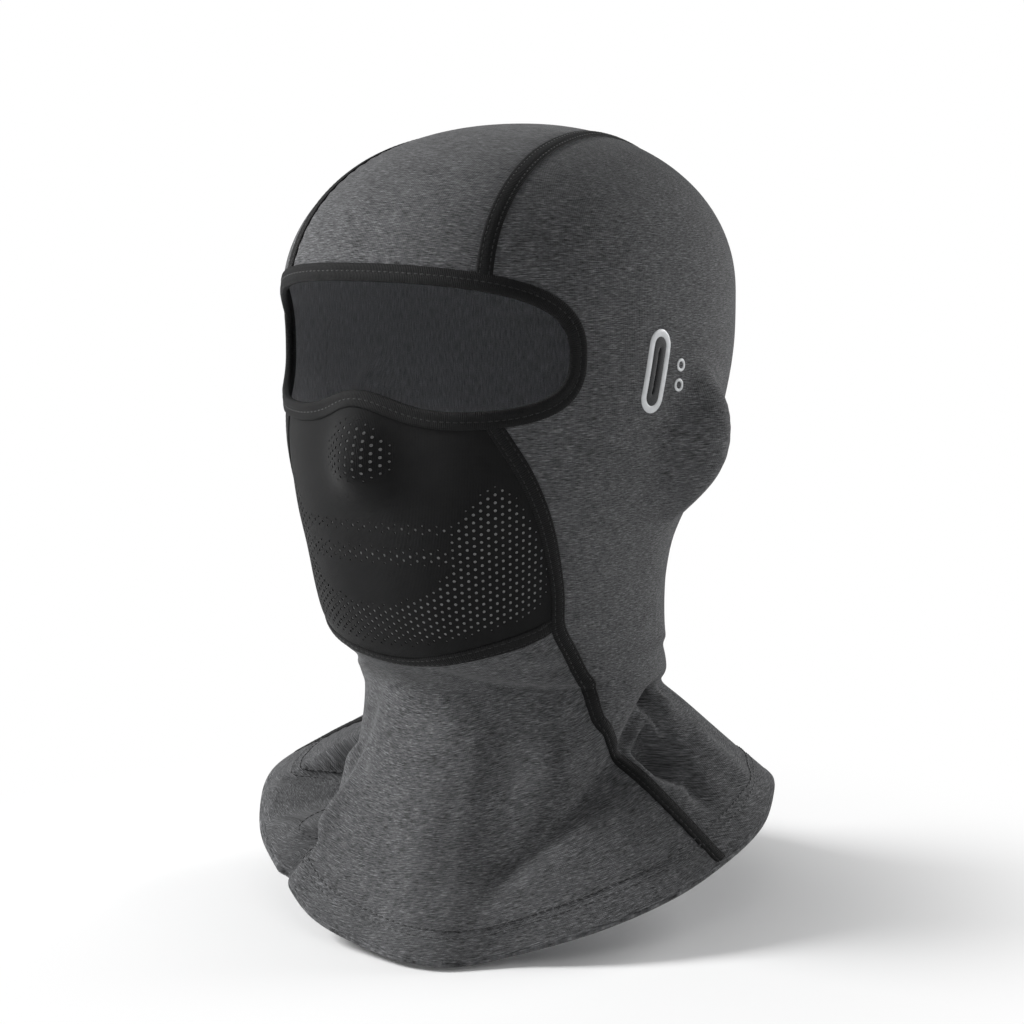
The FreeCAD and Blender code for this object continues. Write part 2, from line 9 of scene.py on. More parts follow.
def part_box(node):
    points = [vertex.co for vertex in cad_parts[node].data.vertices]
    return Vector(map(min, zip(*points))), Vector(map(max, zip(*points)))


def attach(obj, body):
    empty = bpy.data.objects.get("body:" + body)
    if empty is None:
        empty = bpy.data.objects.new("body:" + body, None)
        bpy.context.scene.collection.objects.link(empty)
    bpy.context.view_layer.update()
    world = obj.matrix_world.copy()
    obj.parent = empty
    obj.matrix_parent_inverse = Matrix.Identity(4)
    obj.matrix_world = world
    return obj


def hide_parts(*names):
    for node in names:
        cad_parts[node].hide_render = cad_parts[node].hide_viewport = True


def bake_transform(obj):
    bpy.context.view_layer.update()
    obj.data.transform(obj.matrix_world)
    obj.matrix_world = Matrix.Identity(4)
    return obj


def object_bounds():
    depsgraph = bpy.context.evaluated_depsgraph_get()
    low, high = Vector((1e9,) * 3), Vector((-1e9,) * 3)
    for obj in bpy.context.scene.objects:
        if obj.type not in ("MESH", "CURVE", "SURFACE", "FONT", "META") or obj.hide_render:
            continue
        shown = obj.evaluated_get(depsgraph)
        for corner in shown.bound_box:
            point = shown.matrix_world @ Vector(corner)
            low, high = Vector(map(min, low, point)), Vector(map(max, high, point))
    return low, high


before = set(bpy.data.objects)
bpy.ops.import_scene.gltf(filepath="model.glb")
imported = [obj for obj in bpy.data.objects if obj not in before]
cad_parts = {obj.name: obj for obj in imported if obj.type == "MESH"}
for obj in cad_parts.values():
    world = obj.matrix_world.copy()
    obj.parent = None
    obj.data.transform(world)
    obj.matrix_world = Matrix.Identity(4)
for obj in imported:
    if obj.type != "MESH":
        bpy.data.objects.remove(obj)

# A full-face balaclava of heather knit, filled out as it is worn.  All shaping is done in
# millimetres and turned into metres when a mesh is made.  The wearer faces -Y, left is +X.
#
# Every piece of cloth follows one form, which is measured from the CAD model: its radius is kept
# in a table over bearing (degrees from straight ahead) and station (height up to the hub level,
# and from there arc length up a fan of rays to the top of the head).

CAD_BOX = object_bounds()
METRE = 1000.0

# ---------------------------------------------------------------- sizes in millimetres
CLOTH = 1.0              # thickness of the knit
STEP = 1.2               # spacing of the table's stations
TURN = 0.75              # spacing of the table's bearings, degrees
FAR = 400.0              # rays start this far out
FILLING = 900            # passes that smooth the form over the openings
CELL = 1.35              # spacing of the cloth meshes
CLOTH_INSET = 1.5        # cloth edge, from the fold of the binding
BINDING_WIDTH = 7.0
HEM_DEPTH = 12.0
FOLD_RADIUS = 2.5        # of the sharp folds
DEGREE = 1.5             # width of a degree of bearing at the neck and skirt
FOLDS_TOP = 135.0        # the folds lie below this height

OUTER_CLOTH = ("crown_panel", "side_panel_left", "side_panel_right", "chin_panel", "face_mask")
SKIRT_CLOTH = ("skirt_front", "skirt_side_left", "skirt_side_right", "skirt_back")


# ---------------------------------------------------------------- reading the CAD model
def low(node):
    """Lowest corner of a CAD node, in millimetres."""
    return np.array(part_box(node)[0]) * METRE


def high(node):
    """Highest corner of a CAD node, in millimetres."""
    return np.array(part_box(node)[1]) * METRE


def cad_mesh(names):
    """Vertices and triangles of CAD nodes."""
    points, faces, base = [], [], 0
    for name in names:
        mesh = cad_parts[name].data
        mesh.calc_loop_triangles()
        co = np.empty(len(mesh.vertices) * 3)
        mesh.vertices.foreach_get("co", co)
        tri = np.empty(len(mesh.loop_triangles) * 3, dtype=np.int32)
        mesh.loop_triangles.foreach_get("vertices", tri)
        points.append(co.reshape(-1, 3) * METRE)
        faces.append(tri.reshape(-1, 3) + base)
        base += len(mesh.vertices)
    return np.vstack(points), np.vstack(faces)


def crossings(points, faces, key):
    """Points where the edges of a mesh pass through key = 0; key holds one number per vertex."""
    edges = np.vstack([faces[:, (0, 1)], faces[:, (1, 2)], faces[:, (2, 0)]])
    a, b = edges[:, 0], edges[:, 1]
    hit = (key[a] < 0) != (key[b] < 0)
    a, b = a[hit], b[hit]
    t = (key[a] / (key[a] - key[b]))[:, None]
    return points[a] + t * (points[b] - points[a])


SPLIT = (low("chin_panel")[2] + high("skirt_front")[2]) / 2.0      # level where the hood turns
HUB = high("eye_binding")[2] + 1.0           # above it the form is measured by fanned rays
BELOW = 30.0                                 # the table reaches this far below the hem
ROWS_DOWN = int(math.ceil((HUB + BELOW) / STEP))
FLOOR = HUB - ROWS_DOWN * STEP
ROWS_UP = 110
ARC = STEP * ROWS_UP / (math.pi / 2.0)       # station per radian above the hub
COLUMNS = int(round(360.0 / TURN))
BEARINGS = np.arange(COLUMNS) * TURN
STATIONS = FLOOR + STEP * np.arange(ROWS_DOWN + ROWS_UP + 1)


# ---------------------------------------------------------------- small maths
def smooth(x, a, b):
    """0 below a, 1 above b, eased between them."""
    t = np.clip((x - a) / (b - a), 0.0, 1.0)
    return t * t * (3.0 - 2.0 * t)


def unit(v):
    return v / np.maximum(np.linalg.norm(v, axis=-1, keepdims=True), 1e-9)


def turned(b):
    """Bearing brought into -180 to 180."""
    return (b + 180.0) % 360.0 - 180.0


def around(points, b):
    """Smooth closed curve through (bearing, value) points."""
    keys = np.array([p[0] for p in points], dtype=float)
    values = np.array([p[1] for p in points], dtype=float)
    keys = np.concatenate([keys - 360.0, keys, keys + 360.0])
    values = np.tile(values, 3)
    fine = np.arange(-200.0, 200.0, 1.0)
    curve = np.interp(fine, keys, values)
    kernel = np.hanning(11)
    curve = np.convolve(np.pad(curve, 5, mode="edge"), kernel / kernel.sum(), mode="valid")
    return np.interp(turned(b), fine, curve)


def run_of(points):
    """Distance along a course at each of its points."""
    return np.concatenate([[0.0], np.cumsum(np.linalg.norm(np.diff(points, axis=0), axis=1))])


def resample(points, count):
    """The same course with evenly spaced points."""
    run = run_of(points)
    want = np.linspace(0.0, run[-1], count)
    return np.stack([np.interp(want, run, points[:, k]) for k in range(points.shape[1])], axis=1)


def length_of(points):
    return float(run_of(points)[-1])


def relaxed(course, passes):
    """Course with its inner points averaged with their neighbours; the ends stay."""
    for _ in range(passes):
        course[1:-1] = (course[:-2] + 2.0 * course[1:-1] + course[2:]) / 4.0
    return course


def directions(b):
    """Level directions along a bearing and across it."""
    a = math.radians(b)
    return np.array([math.sin(a), -math.cos(a), 0.0]), np.array([math.cos(a), math.sin(a), 0.0])


def renumbered(used, total):
    """New index of each used vertex."""
    out = -np.ones(total, dtype=int)
    out[used] = np.arange(len(used))
    return out


def line_field(b, z, course, scale=DEGREE):
    """Signed distance from a course of (bearing, height) points, and the share of the course run."""
    best = np.full(np.shape(b), 1e9)
    side = np.zeros(np.shape(b))
    share = np.zeros(np.shape(b))
    count = len(course) - 1
    for k in range(count):
        b0, z0 = course[k]
        dx, dz = turned(course[k + 1][0] - b0) * scale, course[k + 1][1] - z0
        px, pz = turned(b - b0) * scale, z - z0
        size = dx * dx + dz * dz
        t = np.clip((px * dx + pz * dz) / size, 0.0, 1.0)
        away = np.hypot(px - t * dx, pz - t * dz)
        near = away < best
        best = np.where(near, away, best)
        side = np.where(near, np.sign(dx * pz - dz * px), side)
        share = np.where(near, (k + t) / count, share)
    return best * side, share


def in_polygon(x, z, outline):
    inside = np.zeros(np.shape(x), dtype=bool)
    for (x0, z0), (x1, z1) in zip(outline, outline[1:] + outline[:1]):
        span = (z0 > z) != (z1 > z)
        with np.errstate(all="ignore"):
            cross = x < (x1 - x0) * (z - z0) / (z1 - z0) + x0
        inside ^= span & cross
    return inside


def polygon_depth(x, z, outline):
    """Distance to an outline, above 0 inside it."""
    away = np.full(np.shape(x), 1e9)
    for (x0, z0), (x1, z1) in zip(outline, outline[1:] + outline[:1]):
        dx, dz = x1 - x0, z1 - z0
        t = np.clip(((x - x0) * dx + (z - z0) * dz) / (dx * dx + dz * dz), 0.0, 1.0)
        away = np.minimum(away, np.hypot(x - x0 - t * dx, z - z0 - t * dz))
    return np.where(in_polygon(x, z, outline), away, -away)


def rounded(away):
    """Distance from a fold's line, eased at the line so that the fold has a small radius."""
    return np.hypot(away, FOLD_RADIUS) - FOLD_RADIUS


def groove(b, z, course, depth, width, power=2.0):
    """Furrow (depth below 0) or ridge along a course, fading at both ends; power 1 makes it sharp."""
    away, share = line_field(b, z, course)
    fade = smooth(share, 0.0, 0.18) * (1.0 - smooth(share, 0.82, 1.0))
    return depth * fade * np.exp(-(rounded(away) / width) ** power)


def ledge(b, z, course, rise, width):
    """Cloth that bulges above a course and tucks in sharply below it."""
    away, share = line_field(b, z, course)
    fade = smooth(share, 0.0, 0.2) * (1.0 - smooth(share, 0.8, 1.0))
    above = rise * np.exp(-np.abs(away) / width) * smooth(away, -0.6, 1.4)
    below = -0.8 * rise * np.exp(-(away / 3.0) ** 2) * (1.0 - smooth(away, -1.2, 0.8))
    return fade * (above + below)


# ---------------------------------------------------------------- the form
def hem_course():
    """Height and radius of the hem at each bearing of the table."""
    points, faces = cad_mesh(SKIRT_CLOTH)
    heights, radii = [], []
    for b in BEARINGS:
        ahead, aside = directions(b)
        cut = crossings(points, faces, points @ aside)
        edge = cut[np.argmax(cut @ ahead)]
        heights.append(edge[2])
        radii.append(edge @ ahead)
    return np.array(heights), np.array(radii)


def measured_radii():
    """Radius of the hood's outer surface by rays towards the axis; nan where they miss the cloth."""
    points, faces = cad_mesh(OUTER_CLOTH)
    tree = BVHTree.FromPolygons(points.tolist(), faces.tolist())
    table = np.full((len(STATIONS), COLUMNS), np.nan)
    for j, s in enumerate(STATIONS):
        if s < SPLIT + 1.0:
            continue
        rise = max(0.0, (s - HUB) / ARC)
        base = Vector((0.0, 0.0, min(s, HUB)))
        for i, b in enumerate(np.radians(BEARINGS)):
            way = Vector((math.cos(rise) * math.sin(b), -math.cos(rise) * math.cos(b), math.sin(rise)))
            hit = tree.ray_cast(base + way * FAR, -way, FAR - 20.0)
            if hit[0] is not None:
                table[j, i] = FAR - hit[3]
    return table


def filled(table):
    """Fills the misses (eye opening, slits, gaps) with the smoothest surface that meets their rims."""
    spread = [np.roll(np.roll(table, a, 0), c, 1) for a in (-2, 0, 2) for c in (-2, 0, 2)]
    with np.errstate(all="ignore"):
        typical = np.nanmedian(np.stack(spread), axis=0)
    table = np.where(table < typical - 0.3, np.nan, table)
    missing = np.isnan(table)
    columns = np.arange(COLUMNS)
    for row in table:
        known = ~np.isnan(row)
        if known.any():
            row[:] = np.interp(columns, columns[known], row[known], period=COLUMNS)
    rows = np.where(~np.isnan(table).any(axis=1))[0]
    table[:rows[0]] = table[rows[0]]
    for _ in range(FILLING):
        up, down = np.roll(table, 1, 0), np.roll(table, -1, 0)
        mean = (up + down + np.roll(table, 1, 1) + np.roll(table, -1, 1)) / 4.0
        table = np.where(missing, mean, table)
        table[:rows[0]] = table[rows[0]]
    return table


# Height of the crease between the neck and the flare, as a share of the split level.
CREASE = ((-180, 0.86), (-155, 0.88), (-130, 0.90), (-110, 0.86), (-85, 0.80), (-62, 0.74), (-49, 0.71),
          (-38, 0.66), (-30, 0.50), (-22, 0.22), (-15, 0.0), (-5, 0.0), (13, 0.0), (21, 0.10), (33, 0.30),
          (52, 0.52), (67, 0.67), (76, 0.76), (90, 0.86), (105, 0.95), (118, 0.97), (135, 0.93), (150, 0.88))
# How deep the neck wall tucks in at the crease, by bearing, and how far that reaches up and down.
TUCK = ((-180, 3.0), (-120, 3.0), (-85, 4.0), (-60, 6.0), (-45, 6.0), (-32, 3.0), (-18, 0.0), (0, 0.0),
        (14, 0.0), (26, 2.0), (40, 4.5), (60, 5.5), (72, 4.0), (82, 4.5), (100, 5.0), (120, 3.0))
TUCK_ABOVE = 17.0
TUCK_BELOW = 4.0
SPREAD_POWER = 1.3       # how the neck widens towards the hem
JOIN = 1.2               # rounding between the neck and the flare
STEEP = 1.0              # least slope of the flare's line where it runs on inside the neck
APRON = 52.0             # how far the cloth stands out over the chest
APRON_BEARING = 7.0
APRON_SPREAD = 70.0

# Furrows and ridges of the skirt and neck: course of (bearing, height), depth, width, sharpness.
FOLDS = (
    (((24, 14), (33, 28), (52, 47), (67, 59), (74, 64)), -2.6, 3.0, 1.2),
    (((72, 62), (78, 70), (86, 78), (96, 85), (110, 92)), -4.2, 2.2, 1.3),
    (((82, 68), (89, 75), (98, 82), (110, 88)), 3.6, 2.8, 2.0),
    (((100, 92), (95, 76), (92, 60), (88, 42)), -6.0, 2.2, 1.2),
    (((104, 74), (108, 58), (112, 46)), 3.0, 6.0, 2.0),
    (((-34, 66), (-29, 58), (-25, 46), (-20, 34)), 4.0, 5.0, 2.0),
    (((-66, 52), (-58, 42), (-46, 33), (-34, 27)), 2.0, 5.0, 2.0),
    (((-30, 86), (-24, 70), (-18, 50)), -1.6, 7.0, 2.0),
    (((32, 96), (30, 64), (28, 42), (25, 16)), -4.5, 12.0, 2.0),
    (((44, 92), (47, 70), (49, 54)), 2.2, 8.0, 2.0),
    (((47, 40), (53, 30), (57, 20)), -1.2, 6.0, 2.0),
    (((65, 50), (71, 38), (75, 30)), 1.4, 7.0, 2.0),
    (((35, 121), (41, 119.5), (47, 118)), -0.7, 1.0, 1.5),
    (((49, 119), (59, 119.5), (71, 118)), -0.8, 1.0, 1.5),
    (((55, 112), (66, 113), (80, 112)), -0.4, 0.9, 1.5),
    (((15, 88), (35, 82), (57, 80)), -0.8, 3.0, 2.0),
    (((45, 71), (59, 74), (72, 79)), 0.9, 3.0, 2.0),
    (((-93, 68), (-102, 72), (-115, 78), (-129, 86)), 2.4, 2.6, 2.0),
    (((-91, 69), (-102, 75), (-113, 82), (-125, 90)), -2.4, 2.0, 1.4),
    (((-117, 72), (-106, 58), (-99, 50)), -3.0, 2.8, 1.4),
    (((-105, 64), (-107, 57)), -3.5, 6.0, 2.0),
    (((-69, 55), (-75, 46), (-79, 38)), -1.4, 5.0, 2.0),
    (((-45, 120), (-53, 118), (-65, 119)), -0.7, 1.0, 1.5),
    (((150, 88), (165, 84), (180, 83), (-165, 84), (-150, 88)), -2.4, 3.0, 1.5),
    (((142, 100), (160, 97), (180, 98), (-160, 97), (-142, 100)), -1.4, 3.0, 1.5),
    (((160, 74), (158, 60), (156, 48)), -2.2, 6.0, 1.6),
    (((-162, 74), (-159, 60), (-157, 48)), -2.2, 6.0, 1.6),
)
# The front of the skirt breaks over one soft vertical fold that runs out through the hem.
BREAK = ((2, 96), (7, 68), (11, 36), (14, 14), (15, -6))
BREAK_HEIGHT = 8.0
BREAK_WIDTH = 13.0
# Bulges of the neck cloth over the skirt: course of (bearing, height), rise, width.
LEDGES = (
    (((5, 109), (17, 104), (31, 100), (47, 98), (60, 97), (72, 97)), 3.0, 7.0),
    (((-15, 109), (-29, 103), (-43, 100), (-59, 98), (-75, 96), (-95, 93)), 2.2, 7.0),
    (((95, 104), (111, 107), (129, 104), (150, 101)), 1.2, 6.0),
    (((-105, 104), (-121, 107), (-139, 104), (-150, 101)), 1.2, 6.0),
)
# Deep pockets in the flare: outline of (bearing, height), radius of the floor at its top, how much it
# widens per millimetre down from there, width of the walls.
POCKET_TOP = 72.0
POCKETS = (
    (((-57, 78), (-54, 60), (-53, 46), (-44, 38), (-30, 35), (-25, 30), (-22, 31), (-26, 42), (-31, 54),
      (-35, 62), (-46, 76)), 61.0, 0.25, 4.0),
    (((79, 66), (86, 73), (92, 77), (92, 63), (88, 55), (82, 58)), 60.0, 0.2, 3.5),
)
WAVES = ((3, 0.9, 1.1), (5, 0.6, 2.3), (8, 0.45, 0.4), (13, 0.25, 4.0))    # turns, height, phase
EAR = dict(y=9.0, z=190.0, half_length=15.0, half_height=26.0, rise=5.0, crease=1.3)


def skirt_radii(wall, hem_z, hem_r):
    """Neck wall, crease and flare below the split, over the whole table."""
    z = STATIONS[:, None]
    b = turned(BEARINGS)[None, :]
    crease = around(CREASE, BEARINGS) * SPLIT
    present = smooth(crease - hem_z, 0.0, 10.0)
    apron = APRON * np.exp(-(turned(BEARINGS - APRON_BEARING) / APRON_SPREAD) ** 2)
    whole = (hem_r - wall) / ((SPLIT - hem_z) / SPLIT) ** SPREAD_POWER
    apron = apron * present + whole * (1.0 - present)

    def neck(height):
        return wall + apron * np.clip((SPLIT - height) / SPLIT, 0.0, 2.0) ** SPREAD_POWER

    tube = neck(z)
    foot = neck(crease[None, :])
    slope = (hem_r - foot) / np.maximum(crease - hem_z, 4.0)
    slope = np.where(z > crease, np.maximum(slope, STEEP), slope)
    flare = foot + slope * (crease - z)
    flare = tube * (1.0 - present) + flare * present
    over = z - crease
    tuck = np.exp(-np.abs(over) / np.where(over > 0.0, TUCK_ABOVE, TUCK_BELOW))
    out = JOIN * np.logaddexp(tube / JOIN, flare / JOIN)
    out -= around(TUCK, BEARINGS) * present * tuck
    low_share = np.clip((SPLIT - z) / (SPLIT - hem_z), 0.0, 1.3)
    for turns, height, phase in WAVES:
        out += height * low_share ** 1.5 * np.sin(np.radians(b) * turns + phase)
    return out


def pocketed(table, b, z):
    """Cloth pulled in to the neck inside the pockets, with steep walls round them."""
    for outline, floor, rise, wall in POCKETS:
        flat = [(turn * DEGREE, height) for turn, height in outline]
        share = smooth(polygon_depth(b * DEGREE, z, flat), -0.5 * wall, 0.5 * wall)
        bottom = np.minimum(floor + rise * np.maximum(POCKET_TOP - z, 0.0), table)
        table = table * (1.0 - share) + bottom * share
    return table


def ear_relief():
    """Rim of the ear under the cloth, falling away sharply behind, with a soft crease round it."""
    b = np.radians(BEARINGS)[None, :]
    z = STATIONS[:, None]
    x, y = TABLE * np.sin(b), -TABLE * np.cos(b)
    away = np.hypot((y - EAR["y"]) / EAR["half_length"], (z - EAR["z"]) / EAR["half_height"])
    side = (np.abs(x) > 40.0) & (z < HUB)
    behind = smooth(y - EAR["y"], -16.0, 8.0)
    rise = EAR["rise"] * (0.15 + 0.85 * behind) * np.exp(-away ** 4)
    crease = EAR["crease"] * (0.2 + 0.8 * behind) * np.exp(-((away - 1.28) / 0.24) ** 2)
    return np.where(side, rise - crease, 0.0)


def build_form():
    """The finished table: measured hood, shaped skirt, folds."""
    table = filled(measured_radii())
    at_split = int(round((SPLIT + 2.0 - FLOOR) / STEP))
    wall = table[at_split]
    skirt = skirt_radii(wall, HEM_Z, HEM_R)
    take = smooth(STATIONS, SPLIT - 2.0, SPLIT + 3.0)[:, None]
    table = table * take + skirt * (1.0 - take)
    z, b = np.meshgrid(STATIONS, turned(BEARINGS), indexing="ij")
    below = z[:, 0] < FOLDS_TOP
    shape = np.zeros_like(table)
    for course, depth, width, power in FOLDS:
        shape[below] += groove(b[below], z[below], course, depth, width, power)
    shape[below] *= smooth(z[below] - HEM_Z[None, :], 3.0, 15.0)
    away, share = line_field(b[below], z[below], BREAK)
    shape[below] += BREAK_HEIGHT * smooth(share, 0.0, 0.9) * np.exp(-(rounded(away) / BREAK_WIDTH) ** 1.3)
    for course, rise, width in LEDGES:
        shape[below] += ledge(b[below], z[below], course, rise, width)
    table = table + shape
    table[below] = pocketed(table[below], b[below], z[below])
    return table


def eased(table, passes):
    """Takes out the last facets of the measured surface."""
    for _ in range(passes):
        table = (np.roll(table, 1, 1) + 2.0 * table + np.roll(table, -1, 1)) / 4.0
        inner = (table[:-2] + 2.0 * table[1:-1] + table[2:]) / 4.0
        table = np.vstack([table[:1], inner, table[-1:]])
    return table


HEM_Z, HEM_R = hem_course()
TABLE = eased(build_form(), 2)
TABLE += ear_relief()
TABLE[-1] = TABLE[-1].mean()
over_top = np.roll(TABLE[-2:-3:-1], COLUMNS // 2, axis=1)
TABLE = np.vstack([TABLE, over_top, over_top])


def weights(t):
    """Catmull-Rom weights of four neighbours."""
    return (((-t + 2.0) * t - 1.0) * t / 2.0, ((3.0 * t - 5.0) * t * t + 2.0) / 2.0,
            ((-3.0 * t + 4.0) * t + 1.0) * t / 2.0, (t - 1.0) * t * t / 2.0)


def radius(b, s):
    """Radius of the form at bearings and stations."""
    u = (b % 360.0) / TURN
    v = np.clip((s - FLOOR) / STEP, 1.0, len(TABLE) - 3.0)
    i, j = np.floor(u).astype(int), np.minimum(np.floor(v).astype(int), len(TABLE) - 3)
    wu, wv = weights(u - i), weights(v - j)
    total = 0.0
    for c in range(4):
        for a in range(4):
            total = total + wu[a] * wv[c] * TABLE[j + c - 1, (i + a - 1) % COLUMNS]
    return total


def place(b, s):
    """Points of the form at bearings and stations."""
    b, s = np.broadcast_arrays(np.asarray(b, dtype=float), np.asarray(s, dtype=float))
    r = radius(b, s)
    rise = np.clip((s - HUB) / ARC, 0.0, math.pi / 2.0)
    flat = r * np.cos(rise)
    a = np.radians(b)
    return np.stack([flat * np.sin(a), -flat * np.cos(a), np.minimum(s, HUB) + r * np.sin(rise)], axis=-1)


def chart(p):
    """Bearing and station of points."""
    x, y, z = p[..., 0], p[..., 1], p[..., 2]
    rise = np.arctan2(z - HUB, np.hypot(x, y))
    return np.degrees(np.arctan2(x, -y)), np.where(z > HUB, HUB + ARC * rise, z)


def onto(p):
    """Carries nearby points onto the form."""
    return place(*chart(p))


def normal(p):
    """Outward unit normals of the form."""
    core = np.zeros_like(p)
    core[..., 2] = np.minimum(p[..., 2], HUB)
    out = unit(p - core)
    steep = np.abs(out[..., 2:]) > 0.9
    helper = np.where(steep, np.array([1.0, 0.0, 0.0]), np.array([0.0, 0.0, 1.0]))
    across = unit(np.cross(helper, out))
    along = np.cross(out, across)
    reach = 0.8
    du = onto(p + across * reach) - onto(p - across * reach)
    dv = onto(p + along * reach) - onto(p - along * reach)
    n = unit(np.cross(du, dv))
    return n * np.sign((n * out).sum(axis=-1, keepdims=True))


def lift(p, offset):
    """Points moved off the form; offset 0 is the outer face of the cloth."""
    offset = np.broadcast_to(np.asarray(offset, dtype=float), p.shape[:-1])
    return p + normal(p) * offset[..., None]


# ---------------------------------------------------------------- courses
def tape_middle(cut):
    """Point halfway between the two farthest corners of a section across a tape."""
    first = cut[np.argmax(np.linalg.norm(cut - cut.mean(axis=0), axis=1))]
    last = cut[np.argmax(np.linalg.norm(cut - first, axis=1))]
    return (first + last) / 2.0


def strip_middle(name, key, values, keep=None):
    """Middle of a tape where it crosses a set of surfaces key(points) = value."""
    points, faces = cad_mesh([name])
    out = []
    for value in values:
        cut = crossings(points, faces, key(points) - value)
        cut = cut[np.abs(key(cut) - value) < 0.5]
        if keep is not None:
            cut = cut[keep(cut)]
        if len(cut) > 1:
            out.append(tape_middle(cut))
    return np.array(out)


def by_height(strips, margin=7.0, spacing=2.5, keep=None):
    """Bearing of a seam as a function of height, from the tapes that cover it."""
    table = []
    for name in strips:
        values = np.arange(low(name)[2] + margin, min(high(name)[2], HUB) - margin, spacing)
        middle = strip_middle(name, lambda p: p[:, 2], values, keep)
        b, s = chart(middle)
        table += list(zip(s, b))
    table.sort()
    z, b = np.array(table).T
    kernel = np.array([1.0, 2.0, 1.0]) / 4.0
    b[1:-1] = np.convolve(b, kernel, mode="valid")

    def bearing(height):
        height = np.asarray(height, dtype=float)
        inside = np.interp(height, z, b)
        top = (b[-1] - b[-3]) / (z[-1] - z[-3])
        foot = (b[2] - b[0]) / (z[2] - z[0])
        inside = np.where(height > z[-1], b[-1] + top * (height - z[-1]), inside)
        return np.where(height < z[0], b[0] + foot * (height - z[0]), inside)
    return bearing


def behind(p):
    """The part of a crown tape that runs down the back of the head."""
    return p[:, 1] > 20.0


FRONT_SEAM = {1: by_height(["face_seam_left", "neck_seam_left"]),
              -1: by_height(["face_seam_right", "neck_seam_right"])}
BACK_SEAM = {1: by_height(["crown_seam_left", "back_seam_left"], keep=behind),
             -1: by_height(["crown_seam_right", "back_seam_right"], keep=behind)}
SIDE = {1: "left", -1: "right"}


def sweep(p):
    """Angle over the head from straight ahead at hub level, degrees."""
    return np.degrees(np.arctan2(p[..., 2] - HUB, -p[..., 1]))


def crown_line(side):
    """x of the crown seam as a function of the sweep angle."""
    name = "crown_seam_" + SIDE[side]
    angles = np.arange(6.0, 177.0, 3.0)
    middle = strip_middle(name, sweep, angles, lambda p: p[:, 2] > HUB - 8.0)
    x, a = middle[:, 0], sweep(middle)
    slope = (x[1] - x[0]) / (a[1] - a[0])
    return lambda angle: np.where(angle < a[0], x[0] + slope * (angle - a[0]), np.interp(angle, a, x))


CROWN_LINE = {side: crown_line(side) for side in (1, -1)}


def eye_rim(count=720):
    """Fold of the binding round the eye opening, evenly spaced, from the left temple over the brow."""
    points, faces = cad_mesh(["eye_binding"])
    b, s = chart(points)
    scale = 1.6
    middle = (low("eye_binding")[2] + high("eye_binding")[2]) / 2.0
    flat = np.stack([b * scale, s - middle, np.zeros_like(b)], axis=1)
    rim = []
    for turn in np.radians(np.arange(0.0, 360.0, 1.5)):
        ahead = np.array([math.cos(turn), math.sin(turn), 0.0])
        aside = np.array([-math.sin(turn), math.cos(turn), 0.0])
        cut = crossings(flat, faces, flat @ aside)
        away = cut @ ahead
        rim.append(ahead * away[away > 0.0].min())
    rim = np.array(rim)
    closed = np.vstack([rim, rim[:1]])
    points = place(closed[:, 0] / scale, closed[:, 1] + middle)
    return resample(points, count + 1)[:-1]


EYE_RIM = eye_rim()


def rim_frame(rim):
    """Direction away from the opening, along the form, at each point of a closed rim."""
    along = unit(np.roll(rim, -3, axis=0) - np.roll(rim, 3, axis=0))
    away = np.cross(along, normal(rim))
    middle = rim.mean(axis=0)
    facing = np.sign(((rim - middle) * away).sum(axis=1).mean())
    return unit(away * facing)


EYE_AWAY = rim_frame(EYE_RIM)


def eye_ring(grow):
    """Closed course round the eye opening, a given distance out from its rim."""
    ring = onto(EYE_RIM + EYE_AWAY * grow)
    for _ in range(3):
        ring = (np.roll(ring, 1, axis=0) + 2.0 * ring + np.roll(ring, -1, axis=0)) / 4.0
    return onto(ring)


def brow_index(ring, side):
    """Where a crown seam meets a ring round the eye opening."""
    upper = ring[:, 2] > (ring[:, 2].min() + ring[:, 2].max()) / 2.0
    gap = np.abs(ring[:, 0] - CROWN_LINE[side](sweep(ring)))
    return int(np.argmin(np.where(upper & (ring[:, 0] * side > 0), gap, 1e9)))


def mask_index(ring, side):
    """Where the side of the face mask meets a ring round the eye opening."""
    lower = ring[:, 2] < (ring[:, 2].min() + ring[:, 2].max()) / 2.0
    b, s = chart(ring)
    gap = np.abs(b - FRONT_SEAM[side](s))
    return int(np.argmin(np.where(lower & (b * side > 0), gap, 1e9)))


def arc_of(ring, first, last):
    """Part of a closed ring from one index to another, going round with rising index."""
    count = (last - first) % len(ring)
    return ring[(first + np.arange(count + 1)) % len(ring)]


def crown_course(side, grow):
    """A crown seam from the brow over the head to the split."""
    ring = eye_ring(grow)
    start = ring[brow_index(ring, side)]
    angles = np.linspace(float(sweep(start)), 180.0, 160)
    x = CROWN_LINE[side](angles)
    a = np.radians(angles)
    far = 100.0
    over = onto(np.stack([x, -far * np.cos(a), HUB + far * np.sin(a)], axis=1))
    for _ in range(6):
        over[:, 0] = x
        over = onto(over)
    over[0] = start
    heights = np.linspace(over[-1, 2] - 2.0, SPLIT, 90)
    back = place(BACK_SEAM[side](heights), heights)
    course = np.vstack([over, back])
    return onto(relaxed(course, 4))


def foot_course(count):
    """Foot of the face mask under the chin, from the wearer's right to the left."""
    points, faces = cad_mesh(["chin_seam"])
    turn, foot = [], []
    for b in np.arange(-60.0, 60.1, 2.0):
        ahead, aside = directions(b)
        cut = crossings(points, faces, points @ aside)
        cut = cut[cut @ ahead > 0.0]
        if len(cut) > 2:
            turn.append(b)
            foot.append(tape_middle(cut)[2])
    turn, foot = np.array(turn[1:-1]), np.array(foot[1:-1])
    curve = np.polyfit(turn, foot, 6)
    end = turn[-1]
    for _ in range(20):
        end = float(FRONT_SEAM[1](np.polyval(curve, end)))
    b = np.linspace(-end, end, 400)
    return resample(place(b, np.polyval(curve, b)), count)


